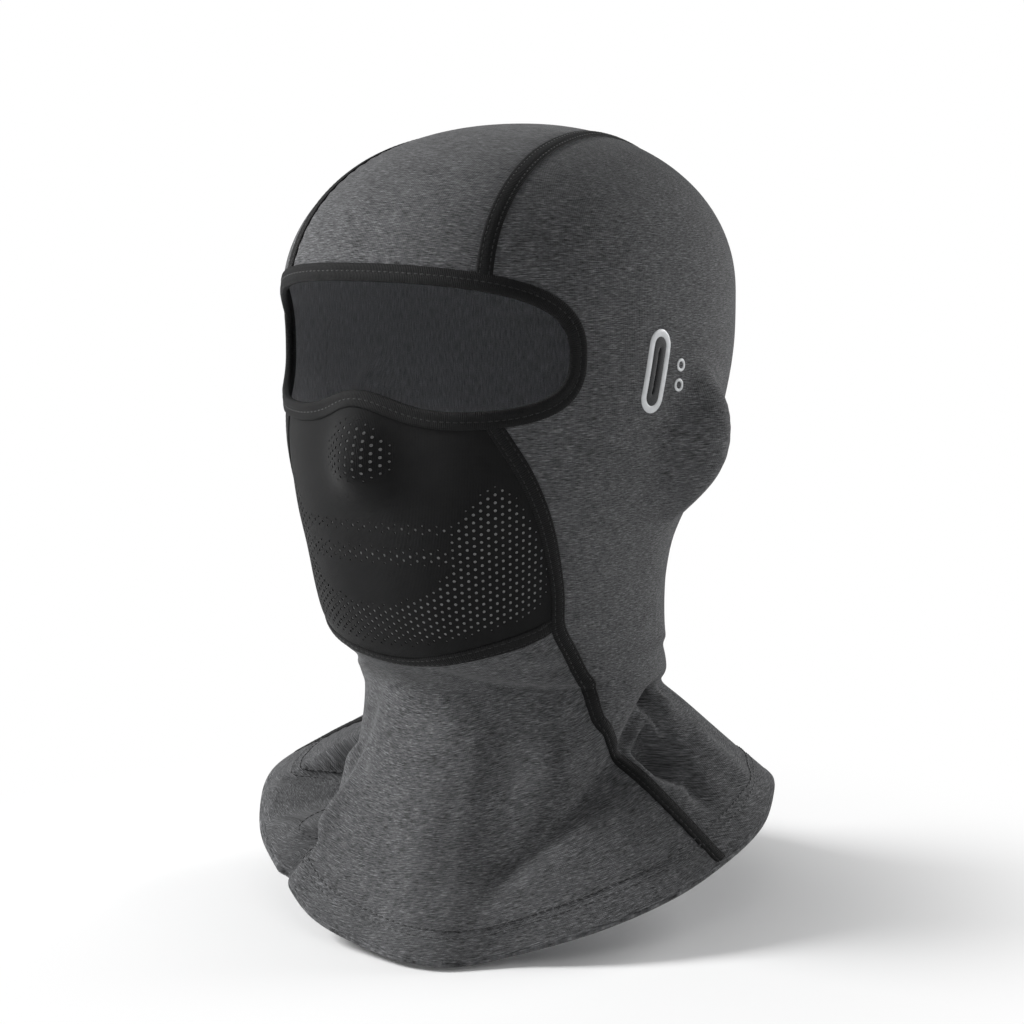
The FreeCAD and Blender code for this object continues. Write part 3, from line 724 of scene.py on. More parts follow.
def front_course(side, top, bottom, count):
    """Mask side and neck seam between two heights."""
    heights = np.linspace(top, bottom, 300)
    return resample(place(FRONT_SEAM[side](heights), heights), count)


def hem_height(b):
    return np.interp(b % 360.0, np.append(BEARINGS, 360.0), np.append(HEM_Z, HEM_Z[0]))


def skirt_grid(first_seam, last_seam, across, down):
    """Cloth between two seams, from the split (first row) to the hem (last row)."""
    u = np.linspace(0.0, 1.0, across)[None, :]
    t = np.linspace(0.0, 1.0, down)[:, None]
    z = np.full((down, across), SPLIT)
    for _ in range(40):
        b = first_seam(z) * (1.0 - u) + last_seam(z) * u
        z = z + 0.6 * (SPLIT + (hem_height(b) - SPLIT) * t - z)
    return place(b, z)


def coons(first, last, start, end):
    """Form points inside four courses; first and last run across, start and end run down."""
    u = np.linspace(0.0, 1.0, len(first))[None, :, None]
    v = np.linspace(0.0, 1.0, len(start))[:, None, None]
    lines = (1 - v) * first[None] + v * last[None] + (1 - u) * start[:, None] + u * end[:, None]
    corners = (1 - u) * ((1 - v) * first[0] + v * last[0]) + u * ((1 - v) * first[-1] + v * last[-1])
    return onto(lines - corners)


# ---------------------------------------------------------------- meshes
def add_piece(name, vertices, faces, uv, materials, slot, nodes, body, kinds=None, sharp=50.0):
    """Makes an object from millimetre vertices; body is a body's name, or None to leave it unattached with
    its transform baked in.
    kinds gives each face's material, sharp the angle above which an edge isn't rounded over."""
    mesh = bpy.data.meshes.new(name)
    mesh.from_pydata((vertices / METRE).tolist(), [], faces)
    if uv is not None:
        corner = np.empty(len(mesh.loops), dtype=np.int32)
        mesh.loops.foreach_get("vertex_index", corner)
        mesh.uv_layers.new(name="cloth").data.foreach_set("uv", uv[corner].ravel())
    for material in materials:
        mesh.materials.append(material)
    if kinds is not None:
        mesh.polygons.foreach_set("material_index", np.array(kinds, dtype=np.int32))
    mesh.polygons.foreach_set("use_smooth", np.ones(len(mesh.polygons), dtype=bool))
    mesh.set_sharp_from_angle(angle=math.radians(sharp))
    mesh.update()
    obj = bpy.data.objects.new(name, mesh)
    bpy.context.scene.collection.objects.link(obj)
    if nodes:
        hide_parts(*nodes)
    if body is None:
        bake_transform(obj)
    else:
        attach(obj, body)
    return obj


def grid_faces(rows, columns):
    j, i = np.meshgrid(np.arange(rows - 1), np.arange(columns - 1), indexing="ij")
    a = (j * columns + i).ravel()
    return np.stack([a, a + 1, a + columns + 1, a + columns], axis=1)


def slab(points, faces, outer, inner):
    """Two-sided sheet with closed rims.  Returns vertices, faces and 0/1 for outer/inner faces."""
    count = len(points)
    n = normal(points)
    outer = np.broadcast_to(np.asarray(outer, dtype=float), (count,))
    inner = np.broadcast_to(np.asarray(inner, dtype=float), (count,))
    top = points + n * outer[:, None]
    under = points + n * inner[:, None]
    a, b, c = top[faces[:, 0]], top[faces[:, 1]], top[faces[:, 2]]
    facing = (np.cross(b - a, c - a) * n[faces[:, 0]]).sum()
    if facing < 0:
        faces = faces[:, ::-1]
    sides = faces.shape[1]
    edges = np.vstack([faces[:, (k, (k + 1) % sides)] for k in range(sides)])
    keys = np.sort(edges, axis=1)
    keys = keys[:, 0].astype(np.int64) * (count + 1) + keys[:, 1]
    _, first, uses = np.unique(keys, return_index=True, return_counts=True)
    rim = edges[first[uses == 1]]
    walls = np.stack([rim[:, 1], rim[:, 0], rim[:, 0] + count, rim[:, 1] + count], axis=1)
    all_faces = faces.tolist() + (faces[:, ::-1] + count).tolist() + walls.tolist()
    kind = [0] * len(faces) + [1] * len(faces) + [0] * len(walls)
    return np.vstack([top, under]), all_faces, kind


def swept(rows, closed):
    """Tube from rows of section points (row, point in section, xyz); ends are capped unless closed."""
    count, corners = rows.shape[:2]
    faces = []
    last = count if closed else count - 1
    for j in range(last):
        k = (j + 1) % count
        for i in range(corners):
            m = (i + 1) % corners
            faces.append((j * corners + i, j * corners + m, k * corners + m, k * corners + i))
    if not closed:
        faces.append(tuple(range(corners))[::-1])
        faces.append(tuple((count - 1) * corners + i for i in range(corners)))
    return rows.reshape(-1, 3), faces


def joined(shapes):
    """Vertices and faces of several meshes as one."""
    vertices, faces, base = [], [], 0
    for some, polygons in shapes:
        vertices.append(some)
        faces += [tuple(v + base for v in f) for f in polygons]
        base += len(some)
    return np.vstack(vertices), faces


def tape_rows(course, profile, along_offset):
    """Section rows of a tape on the form; profile holds (across, offset) points."""
    along = np.gradient(course, axis=0)
    n = normal(course)
    aside = unit(np.cross(along, n))
    rows = []
    for across, offset in profile:
        base = onto(course + aside * across)
        rows.append(lift(base, offset + along_offset))
    return np.stack(rows, axis=1)


def stitch_places(course, pitch):
    """Middles of the stitches along a course, the way each one runs, and the run at every half pitch."""
    fine = resample(course, 2 * int(length_of(course) / pitch) + 1)
    return onto(fine[1::2]), unit(fine[2::2] - fine[:-1:2]), run_of(fine)


def stitches(points, along, n, length, thick, height):
    """Short raised threads, one per point."""
    girths = ((-0.5, 0.25), (-0.38, 0.85), (0.0, 1.0), (0.38, 0.85), (0.5, 0.25))
    corners = 6
    aside = unit(np.cross(along, n))
    vertices, faces = [], []
    for share, size in girths:
        for k in range(corners):
            a = 2.0 * math.pi * k / corners
            lifted = height + thick * (size - 1.0) + math.sin(a) * thick * size
            vertices.append(points + along * (share * length) + aside * (math.cos(a) * thick * size)
                            + n * lifted)
    vertices = np.stack(vertices, axis=1)
    per = len(girths) * corners
    one = []
    for j in range(len(girths) - 1):
        for k in range(corners):
            m = (k + 1) % corners
            one.append((j * corners + k, j * corners + m, (j + 1) * corners + m, (j + 1) * corners + k))
    ends = [tuple(range(corners))[::-1], tuple(per - corners + k for k in range(corners))]
    for q in range(len(points)):
        base = q * per
        faces += [tuple(base + v for v in f) for f in one + ends]
    return vertices.reshape(-1, 3), faces


# ---------------------------------------------------------------- materials
def new_material(name):
    material = bpy.data.materials.new(name)
    material.use_nodes = True
    tree = material.node_tree
    tree.nodes.clear()
    return material, tree


def node(tree, kind, inputs=None, **settings):
    """Adds a node; an input given as another node's output socket is linked."""
    made = tree.nodes.new(kind)
    for key, value in settings.items():
        setattr(made, key, value)
    for key, value in (inputs or {}).items():
        if isinstance(value, bpy.types.NodeSocket):
            tree.links.new(value, made.inputs[key])
        else:
            made.inputs[key].default_value = value
    return made


def grey(level, tint=(1.0, 1.0, 1.0)):
    return (level * tint[0], level * tint[1], level * tint[2], 1.0)


def maths(tree, operation, a, b=0.0):
    return node(tree, "ShaderNodeMath", {0: a, 1: b}, operation=operation).outputs[0]


def stretched(tree, across, along, shift=0.0):
    """Cloth coordinates measured in cells of the given size in millimetres."""
    uv = node(tree, "ShaderNodeUVMap", uv_map="cloth").outputs[0]
    inputs = {"Vector": uv, "Scale": (1.0 / across, 1.0 / along, 1.0), "Location": (shift,) * 3}
    return node(tree, "ShaderNodeMapping", inputs).outputs[0]


def weighed(tree, a, share, b):
    """The given share of a and the rest of b."""
    return maths(tree, "ADD", maths(tree, "MULTIPLY", a, share), maths(tree, "MULTIPLY", b, 1.0 - share))


def noise_at(tree, vector, detail=2.0, rough=0.5):
    return node(tree, "ShaderNodeTexNoise", {"Vector": vector, "Scale": 1.0, "Detail": detail,
                                             "Roughness": rough}).outputs[0]


def ramp(tree, value, stops):
    made = node(tree, "ShaderNodeValToRGB", {0: value})
    band = made.color_ramp
    while len(band.elements) < len(stops):
        band.elements.new(0.5)
    for element, (position, colour) in zip(band.elements, stops):
        element.position = position
        element.color = colour
    return made.outputs[0]


def loops(tree, wale, course):
    """Height of fine knit loops: columns of small v shapes."""
    uv = node(tree, "ShaderNodeSeparateXYZ", {0: stretched(tree, wale, course)})
    u, v = uv.outputs[0], uv.outputs[1]
    lean = maths(tree, "ABSOLUTE", maths(tree, "SUBTRACT", maths(tree, "FRACT", u), 0.5))
    rows = maths(tree, "SINE", maths(tree, "MULTIPLY", maths(tree, "ADD", v, lean), 2.0 * math.pi))
    column = maths(tree, "ABSOLUTE", maths(tree, "SINE", maths(tree, "MULTIPLY", u, math.pi)))
    return maths(tree, "ADD", maths(tree, "MULTIPLY", rows, 0.5), column)


def finish(tree, colour, bump_height, bump_size, rough, sheen, sheen_rough=0.5, extra=None):
    """Surface with a bump of the given size in millimetres."""
    bump = node(tree, "ShaderNodeBump", {"Height": bump_height, "Distance": bump_size / METRE,
                                         "Strength": 1.0})
    inputs = {"Base Color": colour, "Roughness": rough, "Normal": bump.outputs[0],
              "Sheen Weight": sheen, "Sheen Roughness": sheen_rough, "Specular IOR Level": 0.16}
    inputs.update(extra or {})
    shader = node(tree, "ShaderNodeBsdfPrincipled", inputs)
    node(tree, "ShaderNodeOutputMaterial", {"Surface": shader.outputs[0]})


COOL = (0.985, 0.995, 1.03)
SILVER = (0.98, 1.0, 1.02)


def heather(dark, mid, light):
    """Melange knit: pale and dark fibres drawn out sideways in short streaks."""
    material, tree = new_material("heather_knit")
    long_streaks = noise_at(tree, stretched(tree, 4.2, 0.42), 3.0, 0.62)
    short_streaks = noise_at(tree, stretched(tree, 1.5, 0.34, 7.3), 2.0, 0.6)
    cloudy = noise_at(tree, stretched(tree, 14.0, 7.0, 3.1), 2.0)
    both = weighed(tree, long_streaks, 0.62, short_streaks)
    both = maths(tree, "ADD", both, maths(tree, "MULTIPLY", maths(tree, "SUBTRACT", cloudy, 0.5), 0.10))
    colour = ramp(tree, both, ((0.38, grey(dark, COOL)), (0.48, grey(mid * 0.85, COOL)),
                               (0.55, grey(mid * 1.2, COOL)), (0.64, grey(light, COOL))))
    knit = maths(tree, "MULTIPLY", loops(tree, 0.85, 0.62), 0.5)
    height = maths(tree, "ADD", knit, maths(tree, "MULTIPLY", both, 1.2))
    finish(tree, colour, height, 0.16, 0.92, 0.14, 0.45)
    return material


def inside_cloth():
    """Brushed inner face, darker, with its grain running up and down."""
    material, tree = new_material("brushed_inside")
    grain = noise_at(tree, stretched(tree, 0.5, 5.0), 3.0, 0.6)
    fuzz = noise_at(tree, stretched(tree, 0.5, 0.5, 5.0), 2.0)
    mixed = weighed(tree, grain, 0.65, fuzz)
    shades = (0.35, grey(0.26, COOL)), (0.52, grey(0.46, COOL)), (0.68, grey(0.68, COOL))
    colour = ramp(tree, mixed, shades)
    finish(tree, colour, mixed, 0.25, 0.95, 0.3)
    return material


def black_knit():
    """Smooth stretch knit of the face mask."""
    material, tree = new_material("black_knit")
    shade = noise_at(tree, stretched(tree, 9.0, 9.0), 2.0)
    fine = noise_at(tree, stretched(tree, 0.5, 0.35), 2.0)
    mixed = weighed(tree, shade, 0.4, fine)
    colour = ramp(tree, mixed, ((0.35, grey(0.0052, COOL)), (0.65, grey(0.0090, COOL))))
    height = maths(tree, "ADD", loops(tree, 0.55, 0.45), fine)
    finish(tree, colour, height, 0.07, 0.72, 0.05, 0.35)
    return material


def tape_cloth(name, level, pitch):
    """Woven or folded tape with fine ribs across it."""
    material, tree = new_material(name)
    uv = node(tree, "ShaderNodeSeparateXYZ", {0: stretched(tree, 1.0, 1.0)})
    ribs = maths(tree, "SINE", maths(tree, "MULTIPLY", uv.outputs[1], 2.0 * math.pi / pitch))
    fuzz = noise_at(tree, stretched(tree, 0.6, 0.6), 2.0)
    slow = noise_at(tree, stretched(tree, 3.0, 9.0, 2.0), 2.0)
    colour = ramp(tree, weighed(tree, fuzz, 0.5, slow),
                  ((0.35, grey(level * 0.75, COOL)), (0.65, grey(level * 1.25, COOL))))
    height = maths(tree, "ADD", maths(tree, "MULTIPLY", ribs, 0.4), fuzz)
    finish(tree, colour, height, 0.2, 0.72, 0.03)
    return material


def mesh_lining():
    """Pale open mesh behind the perforations."""
    material, tree = new_material("pale_mesh")
    cells = node(tree, "ShaderNodeTexVoronoi", {"Vector": stretched(tree, 0.7, 0.7), "Scale": 1.0},
                 feature="DISTANCE_TO_EDGE").outputs[0]
    colour = ramp(tree, cells, ((0.0, grey(0.36)), (0.25, grey(0.24))))
    finish(tree, colour, cells, 0.10, 0.8, 0.1)
    return material


def reflective_film():
    """Silver film of tiny glass beads: bright, with a soft sparkle."""
    material, tree = new_material("reflective_film")
    spots = stretched(tree, 0.28, 0.28)
    beads = node(tree, "ShaderNodeTexVoronoi", {"Vector": spots, "Scale": 1.0}).outputs[0]
    cloud = noise_at(tree, stretched(tree, 4.0, 4.0), 2.0)
    colour = ramp(tree, cloud, ((0.3, grey(0.66, SILVER)), (0.7, grey(0.76, SILVER))))
    finish(tree, colour, beads, 0.03, 0.42, 0.0, extra={"Metallic": 0.15, "Specular IOR Level": 0.6})
    return material


def bonded_patch():
    """Black bonded film over cloth, with a shallow pressed grain."""
    material, tree = new_material("bonded_patch")
    grain = noise_at(tree, stretched(tree, 0.5, 0.5), 3.0)
    colour = ramp(tree, grain, ((0.3, grey(0.030, COOL)), (0.7, grey(0.050, COOL))))
    finish(tree, colour, grain, 0.08, 0.55, 0.1)
    return material


def thread_material(name, level):
    """Spun thread with a slant twist."""
    material, tree = new_material(name)
    spot = node(tree, "ShaderNodeTexCoord").outputs["Object"]
    twist = node(tree, "ShaderNodeTexNoise", {"Vector": spot, "Scale": 2600.0, "Detail": 2.0}).outputs[0]
    colour = ramp(tree, twist, ((0.35, grey(level * 0.7, COOL)), (0.65, grey(level * 1.3, COOL))))
    finish(tree, colour, twist, 0.05, 0.6, 0.3)
    return material


def floor_material():
    """Pale matt floor that fades into the white background away from the object."""
    material, tree = new_material("pale_floor")
    spot = node(tree, "ShaderNodeTexCoord").outputs["Object"]
    away = node(tree, "ShaderNodeVectorMath", {0: spot}, operation="LENGTH").outputs["Value"]
    fade = node(tree, "ShaderNodeMapRange", {"Value": away, "From Min": 0.09, "From Max": 0.30},
                interpolation_type="SMOOTHSTEP").outputs[0]
    matt = node(tree, "ShaderNodeBsdfDiffuse", {"Color": grey(0.92)})
    glow = node(tree, "ShaderNodeEmission", {"Color": grey(1.0), "Strength": 1.0})
    path = node(tree, "ShaderNodeLightPath")
    share = maths(tree, "MULTIPLY", fade, path.outputs["Is Camera Ray"])
    both = node(tree, "ShaderNodeMixShader", {0: share, 1: matt.outputs[0], 2: glow.outputs[0]})
    node(tree, "ShaderNodeOutputMaterial", {"Surface": both.outputs[0]})
    return material


HEATHER = heather(0.026, 0.092, 0.215)
INSIDE = inside_cloth()
BLACK = black_knit()
TAPE = tape_cloth("seam_tape", 0.0075, 0.9)
BIND = tape_cloth("eye_binding", 0.0080, 0.7)
MESH = mesh_lining()
FILM = reflective_film()
PATCH = bonded_patch()
HEM_THREAD = thread_material("hem_thread", 0.055)
TAPE_THREAD = thread_material("tape_thread", 0.010)


# ---------------------------------------------------------------- cloth panels
def edge_distance(grid, rows=True, columns=True):
    """Roughly how far each grid point is from the sides of the panel, and the run along them."""
    down = np.concatenate([np.zeros((1, grid.shape[1])),
                           np.cumsum(np.linalg.norm(np.diff(grid, axis=0), axis=2), axis=0)])
    across = np.concatenate([np.zeros((grid.shape[0], 1)),
                             np.cumsum(np.linalg.norm(np.diff(grid, axis=1), axis=2), axis=1)], axis=1)
    away = np.full(grid.shape[:2], 1e9)
    if rows:
        away = np.minimum(away, np.minimum(down, down[-1:] - down))
    if columns:
        away = np.minimum(away, np.minimum(across, across[:, -1:] - across))
    return away, down, across


def seam_sink(away, run):
    """Cloth dips towards a seam and puckers a little beside it."""
    dip = -0.45 * np.exp(-(away / 3.2) ** 2)
    pucker = 0.16 * np.sin(run * 2.0 * math.pi / 6.5) * np.exp(-((away - 4.5) / 3.0) ** 2)
    return dip + pucker


def hem_swell(points):
    """The doubled cloth of the hem stands a little proud, with a step at the stitch rows."""
    b, s = chart(points)
    up = s - hem_height(b)
    swell = 0.45 * (1.0 - smooth(up, HEM_DEPTH - 3.5, HEM_DEPTH + 1.0))
    rows = -0.30 * np.exp(-((up - (HEM_DEPTH - 2.5)) / 1.6) ** 2)
    return np.where(s < SPLIT, swell + rows, 0.0)


UV_RADIUS = 80.0         # typical radius, turns bearings into cloth coordinates


def chart_uv(points):
    b, s = chart(points)
    return np.stack([np.radians(b) * UV_RADIUS, s], axis=-1)


def panel(name, grid, nodes, uv, sink, keep=None):
    """A cloth panel on a grid of form points; keep says which faces stay, by their middles."""
    points = grid.reshape(-1, 3)
    faces = grid_faces(*grid.shape[:2])
    if keep is not None:
        faces = faces[keep(points[faces].mean(axis=1))]
    vertices, all_faces, kinds = slab(points, faces, sink.ravel() + hem_swell(points), -CLOTH)
    used = np.unique(np.concatenate([faces.ravel(), faces.ravel() + len(points)]))
    index = renumbered(used, len(vertices))
    all_faces = [tuple(index[list(f)]) for f in all_faces]
    both = np.vstack([uv.reshape(-1, 2)] * 2)
    add_piece(name, vertices[used], all_faces, both[used], [HEATHER, INSIDE], "heather_knit", nodes, None,
              kinds)


SKIRT_ROWS = 84          # of the panels' grids below the split
CROWN_WIDTH = 62.8       # over which the crown's grid is divided
SIDE_WIDTH = 128.0
FRONT_WIDTH = 165.0
SLOT_CUT = (2.0, 12.2)   # half the width and height cut out of the side cloth behind a slot's patch


def build_crown():
    left, right = crown_course(1, CLOTH_INSET), crown_course(-1, CLOTH_INSET)
    down = int(length_of(left) / CELL)
    across = int(CROWN_WIDTH / CELL)
    ring = eye_ring(CLOTH_INSET)
    first, last = brow_index(ring, 1), brow_index(ring, -1)
    brow = resample(arc_of(ring, first, last), across)
    skirt = skirt_grid(BACK_SEAM[1], lambda z: BACK_SEAM[-1](z) + 360.0, across, SKIRT_ROWS)
    upper = coons(brow, skirt[0], resample(left, down), resample(right, down))
    grid = np.vstack([upper, skirt[1:]])
    away, run_down, _ = edge_distance(grid, rows=False)
    uv = np.stack([grid[..., 0], run_down], axis=-1)
    panel("crown_cloth", grid, ("crown_panel", "skirt_back"), uv, seam_sink(away, run_down))


def build_side(side):
    name = SIDE[side]
    ring = eye_ring(CLOTH_INSET)
    brow, mask = brow_index(ring, side), mask_index(ring, side)
    temple = arc_of(ring, mask, brow)[::-1] if side > 0 else arc_of(ring, brow, mask)
    crown = crown_course(side, CLOTH_INSET)
    front = front_course(side, temple[-1][2], SPLIT, 300)
    front[0] = temple[-1]
    along = int(length_of(crown) / CELL * 0.9)
    rows = int(SIDE_WIDTH / CELL)
    skirt = skirt_grid(BACK_SEAM[side], FRONT_SEAM[side], rows, SKIRT_ROWS)
    upper = coons(resample(crown, along), resample(front, along), resample(temple, rows), skirt[0])
    grid = np.concatenate([upper, np.swapaxes(skirt, 0, 1)[:, 1:]], axis=1)
    away, _, run = edge_distance(grid, columns=False)
    slit = slot_frame(side)

    def keep(middles):
        a, b = slot_coordinates(slit, middles)
        return (np.abs(a) > SLOT_CUT[0]) | (np.abs(b) > SLOT_CUT[1]) | (middles[:, 0] * side < 0)

    panel("side_cloth_" + name, grid, ("side_panel_" + name, "skirt_side_" + name), chart_uv(grid),
          seam_sink(away, run), keep)


def build_front():
    across = int(FRONT_WIDTH / CELL)
    foot = foot_course(across)
    left = front_course(1, foot[-1][2], SPLIT, 34)
    right = front_course(-1, foot[0][2], SPLIT, 34)
    skirt = skirt_grid(FRONT_SEAM[-1], FRONT_SEAM[1], across, SKIRT_ROWS)
    right[0], left[0] = foot[0], foot[-1]
    upper = coons(foot, skirt[0], right, left)
    grid = np.vstack([upper, skirt[1:]])
    away, run_down, run_across = edge_distance(grid, rows=False)
    uv = np.stack([run_across - run_across[:, across // 2, None], run_down], axis=-1)
    panel("front_cloth", grid, ("chin_panel", "skirt_front"), uv, seam_sink(away, run_down))


# Section of the hem's fold: (offset from the cloth's outer face, height above the hem).
HEM_SECTION = ((0.45, 1.4), (0.62, 0.6), (0.50, -0.3), (0.0, -0.75), (-0.9, -0.85), (-1.8, -0.6),
               (-2.35, 0.2), (-2.45, 1.2), (-2.3, 6.0), (-2.3, 11.4), (-1.9, 11.9), (-1.25, 11.6),
               (-1.2, 6.0), (-1.2, 0.9), (-0.6, 0.5), (0.0, 0.9))
HEM_STITCH = (3.1, 2.6, 0.30, 0.30)           # pitch, length, half thickness, height
HEM_ROWS = {"lower": 3.75, "upper": 1.25}     # how far each stitch row lies below the turn-up's top


def build_hem():
    """Fold of the hem with the turned-up cloth inside it."""
    rows = [lift(place(BEARINGS, HEM_Z + up), offset) for offset, up in HEM_SECTION]
    vertices, faces = swept(np.stack(rows, axis=1), True)
    faces = [f[::-1] for f in faces]
    uv = strip_uv([up - offset for offset, up in HEM_SECTION], np.radians(BEARINGS) * UV_RADIUS)[:, ::-1]
    add_piece("hem_fold", vertices, faces, uv, [HEATHER], "heather_knit", ("hem_turn_up",), "skirt",
              sharp=80.0)


def build_hem_stitches():
    """The two rows of the twin-needle stitch round the hem."""
    pitch, length, thick, height = HEM_STITCH
    b = np.linspace(0.0, 360.0, 2400)
    for name, below in HEM_ROWS.items():
        points, along, _ = stitch_places(place(b, hem_height(b) + HEM_DEPTH - below), pitch)
        vertices, faces = stitches(points, along, normal(points), length, thick, height)
        add_piece("hem_stitch_" + name, vertices, faces, None, [HEM_THREAD], "thread",
                  ("hem_thread_" + name,), "skirt", sharp=80.0)


# ---------------------------------------------------------------- tapes and binding
# Sections of a tape, (across, offset from the cloth's outer face), and of the binding, (out from the
# rim, offset).
TAPE_SECTION = ((-3.25, -0.25), (-3.20, 0.25), (-2.9, 0.50), (-2.2, 0.62), (-1.75, 0.50), (-1.2, 0.72),
                (0.0, 0.78), (1.2, 0.72), (1.75, 0.50), (2.2, 0.62), (2.9, 0.50), (3.20, 0.25),
                (3.25, -0.25), (0.0, -0.4))
BINDING_SECTION = ((7.0, 0.05), (6.95, 0.55), (6.6, 0.82), (5.6, 0.92), (4.6, 0.86), (3.9, 0.70),
                   (3.3, 0.90), (2.4, 1.10), (1.5, 1.18), (0.7, 1.05), (0.15, 0.65), (-0.1, 0.0),
                   (-0.1, -0.9), (0.2, -1.6), (0.9, -2.0), (3.0, -2.1), (6.6, -2.0), (6.9, -1.6),
                   (6.6, -1.2), (3.5, -1.12), (1.4, -1.1), (1.0, -0.6), (1.4, 0.06), (4.0, 0.08))
TAPE_CELL = 1.3          # spacing of a tape's section rows
TAPE_STITCH = (2.6, 2.1, 0.26, 0.50)          # pitch, length, half thickness, height of the cover stitch
TAPE_FURROW = 1.75       # the stitch rows lie this far from a tape's middle
BINDING_STITCH = (2.6, 2.1, 0.24, 0.72)
BINDING_FURROW = 3.9     # the binding's stitch row, out from its rim


def strip_uv(section, run):
    """Cloth coordinates of a swept strip, from its section's across values and its run."""
    return np.stack([np.tile(section, len(run)), np.repeat(run, len(section))], axis=1)


def tape(name, course, nodes, body, sink=np.zeros_like):
    """A seam tape along a course; sink gives its offset along the run."""
    course = onto(resample(course, int(length_of(course) / TAPE_CELL)))
    course = onto(relaxed(course, 3))
    run = run_of(course)
    vertices, faces = swept(tape_rows(course, TAPE_SECTION, sink(run)), False)
    uv = strip_uv([across for across, _ in TAPE_SECTION], run)
    add_piece(name, vertices, faces, uv, [TAPE], "seam_tape", nodes, body, sharp=60.0)
    tape_stitches(name + "_stitch", course, body, sink)


def tape_stitches(name, course, body, sink):
    """Two rows of cover stitch sunk in the tape."""
    pitch, length, thick, height = TAPE_STITCH
    middle, along, run = stitch_places(course, pitch)
    aside = unit(np.cross(along, normal(middle)))
    rows = []
    for across in (-TAPE_FURROW, TAPE_FURROW):
        points = onto(middle + aside * across)
        rows.append(stitches(lift(points, sink(run)[1::2]), along, normal(points), length, thick, height))
    add_piece(name, *joined(rows), None, [TAPE_THREAD], "thread", (), body, sharp=80.0)


def build_tapes():
    for side, name in SIDE.items():
        crown = crown_course(side, BINDING_WIDTH - 1.2)
        heights = np.linspace(SPLIT - 1.0, 0.0, 200)
        b = BACK_SEAM[side](heights)
        heights = heights[heights > hem_height(b) + 0.2]
        lower = place(BACK_SEAM[side](heights), heights)
        nodes = ("crown_seam_" + name, "back_seam_" + name)
        tape("crown_tape_" + name, np.vstack([crown, lower]), nodes, None)
        ring = eye_ring(BINDING_WIDTH - 1.2)
        top = ring[mask_index(ring, side)][2]
        heights = np.linspace(top, 0.0, 400)
        heights = heights[heights > hem_height(FRONT_SEAM[side](heights)) + 0.2]
        face = place(FRONT_SEAM[side](heights), heights)
        tape("face_tape_" + name, face, ("face_seam_" + name, "neck_seam_" + name), None)
    foot = foot_course(200)
    run = run_of(foot)
    foot = foot[(run > 1.8) & (run < run[-1] - 1.8)]

    def ends_low(run):
        return -0.55 * (1.0 - smooth(np.minimum(run, run[-1] - run), 1.5, 6.0))
    tape("chin_tape", foot, ("chin_seam",), "hood", ends_low)


def build_binding():
    """Strip folded over the cloth edge, with a rolled lip towards the eyes."""
    rows = np.stack([lift(eye_ring(grow), offset) for grow, offset in BINDING_SECTION], axis=1)
    vertices, faces = swept(rows, True)
    uv = strip_uv([grow - offset for grow, offset in BINDING_SECTION], run_of(EYE_RIM))
    add_piece("eye_binding_strip", vertices, faces, uv, [BIND], "binding", ("eye_binding",), "hood",
              sharp=70.0)
    ring = eye_ring(BINDING_FURROW)
    pitch, length, thick, height = BINDING_STITCH
    points, along, _ = stitch_places(np.vstack([ring, ring[:1]]), pitch)
    vertices, faces = stitches(points, along, normal(points), length, thick, height)
    add_piece("eye_binding_stitch", vertices, faces, None, [TAPE_THREAD], "thread", (), "hood", sharp=80.0)


# ---------------------------------------------------------------- face mask
MASK_CLOTH = 0.40        # thickness of the mask's cloth
MASK_CELL = 1.5          # spacing of the mask's mesh
MASK_MARGIN = 3.5        # left plain along the mask's rim
HOLE = 0.62              # radius of a perforation
HOLE_CORNERS = 12
PITCH = 3.1              # spacing of the perforations
WIDE = 1.72              # millimetres per degree of bearing over the mask
# Zones of perforations, outlines of (bearing, height).
NOSE_ZONE = ((-3.0, 207.0), (3.0, 207.0), (7.5, 200.0), (9.0, 192.0), (7.5, 186.0), (3.5, 183.0),
             (-3.5, 183.0), (-7.5, 186.0), (-9.0, 192.0), (-7.5, 200.0))
UPPER_LIP = ((-21.0, 167.5), (21.0, 167.5), (21.0, 162.5), (-21.0, 162.5))
LOWER_LIP = ((-21.0, 157.5), (21.0, 157.5), (21.0, 150.5), (-21.0, 150.5))
BAND_OUTSIDE = ((32.0, 183.0), (37.5, 171.0), (42.0, 156.0), (43.0, 139.0), (39.0, 129.5), (30.0, 125.0),
                (16.0, 119.0), (4.0, 116.0))
BAND_INSIDE = ((27.5, 181.5), (22.0, 171.0), (19.0, 163.0), (19.0, 150.0), (14.5, 141.0), (7.0, 136.0),
               (2.0, 134.7))


def flat_zone(outline, mirror=1.0):
    return [(mirror * b * WIDE, height) for b, height in outline]


def perforations(rim):
    """Flat centres and radii of the mask's round holes: a lattice in upright columns, kept off the rim."""
    column = PITCH * math.sqrt(0.75)
    side = int(90.0 / column)
    centres = []
    for k in range(-side, side + 1):
        shift = PITCH / 2.0 if k % 2 else 0.0
        centres += [(k * column, z) for z in np.arange(100.0, 215.0, PITCH) + shift]
    x, z = np.array(centres).T
    band = flat_zone(BAND_OUTSIDE) + flat_zone(BAND_OUTSIDE[::-1], -1.0)
    band += flat_zone(BAND_INSIDE, -1.0) + flat_zone(BAND_INSIDE[::-1])
    zones = [band] + [flat_zone(zone) for zone in (NOSE_ZONE, UPPER_LIP, LOWER_LIP)]
    depth = np.max([polygon_depth(x, z, zone) for zone in zones], axis=0)
    size = HOLE * (0.55 + 0.45 * smooth(depth, 0.0, 3.5))
    keep = (depth > 0.0) & (polygon_depth(x, z, rim) > MASK_MARGIN)
    return x[keep], z[keep], size[keep]


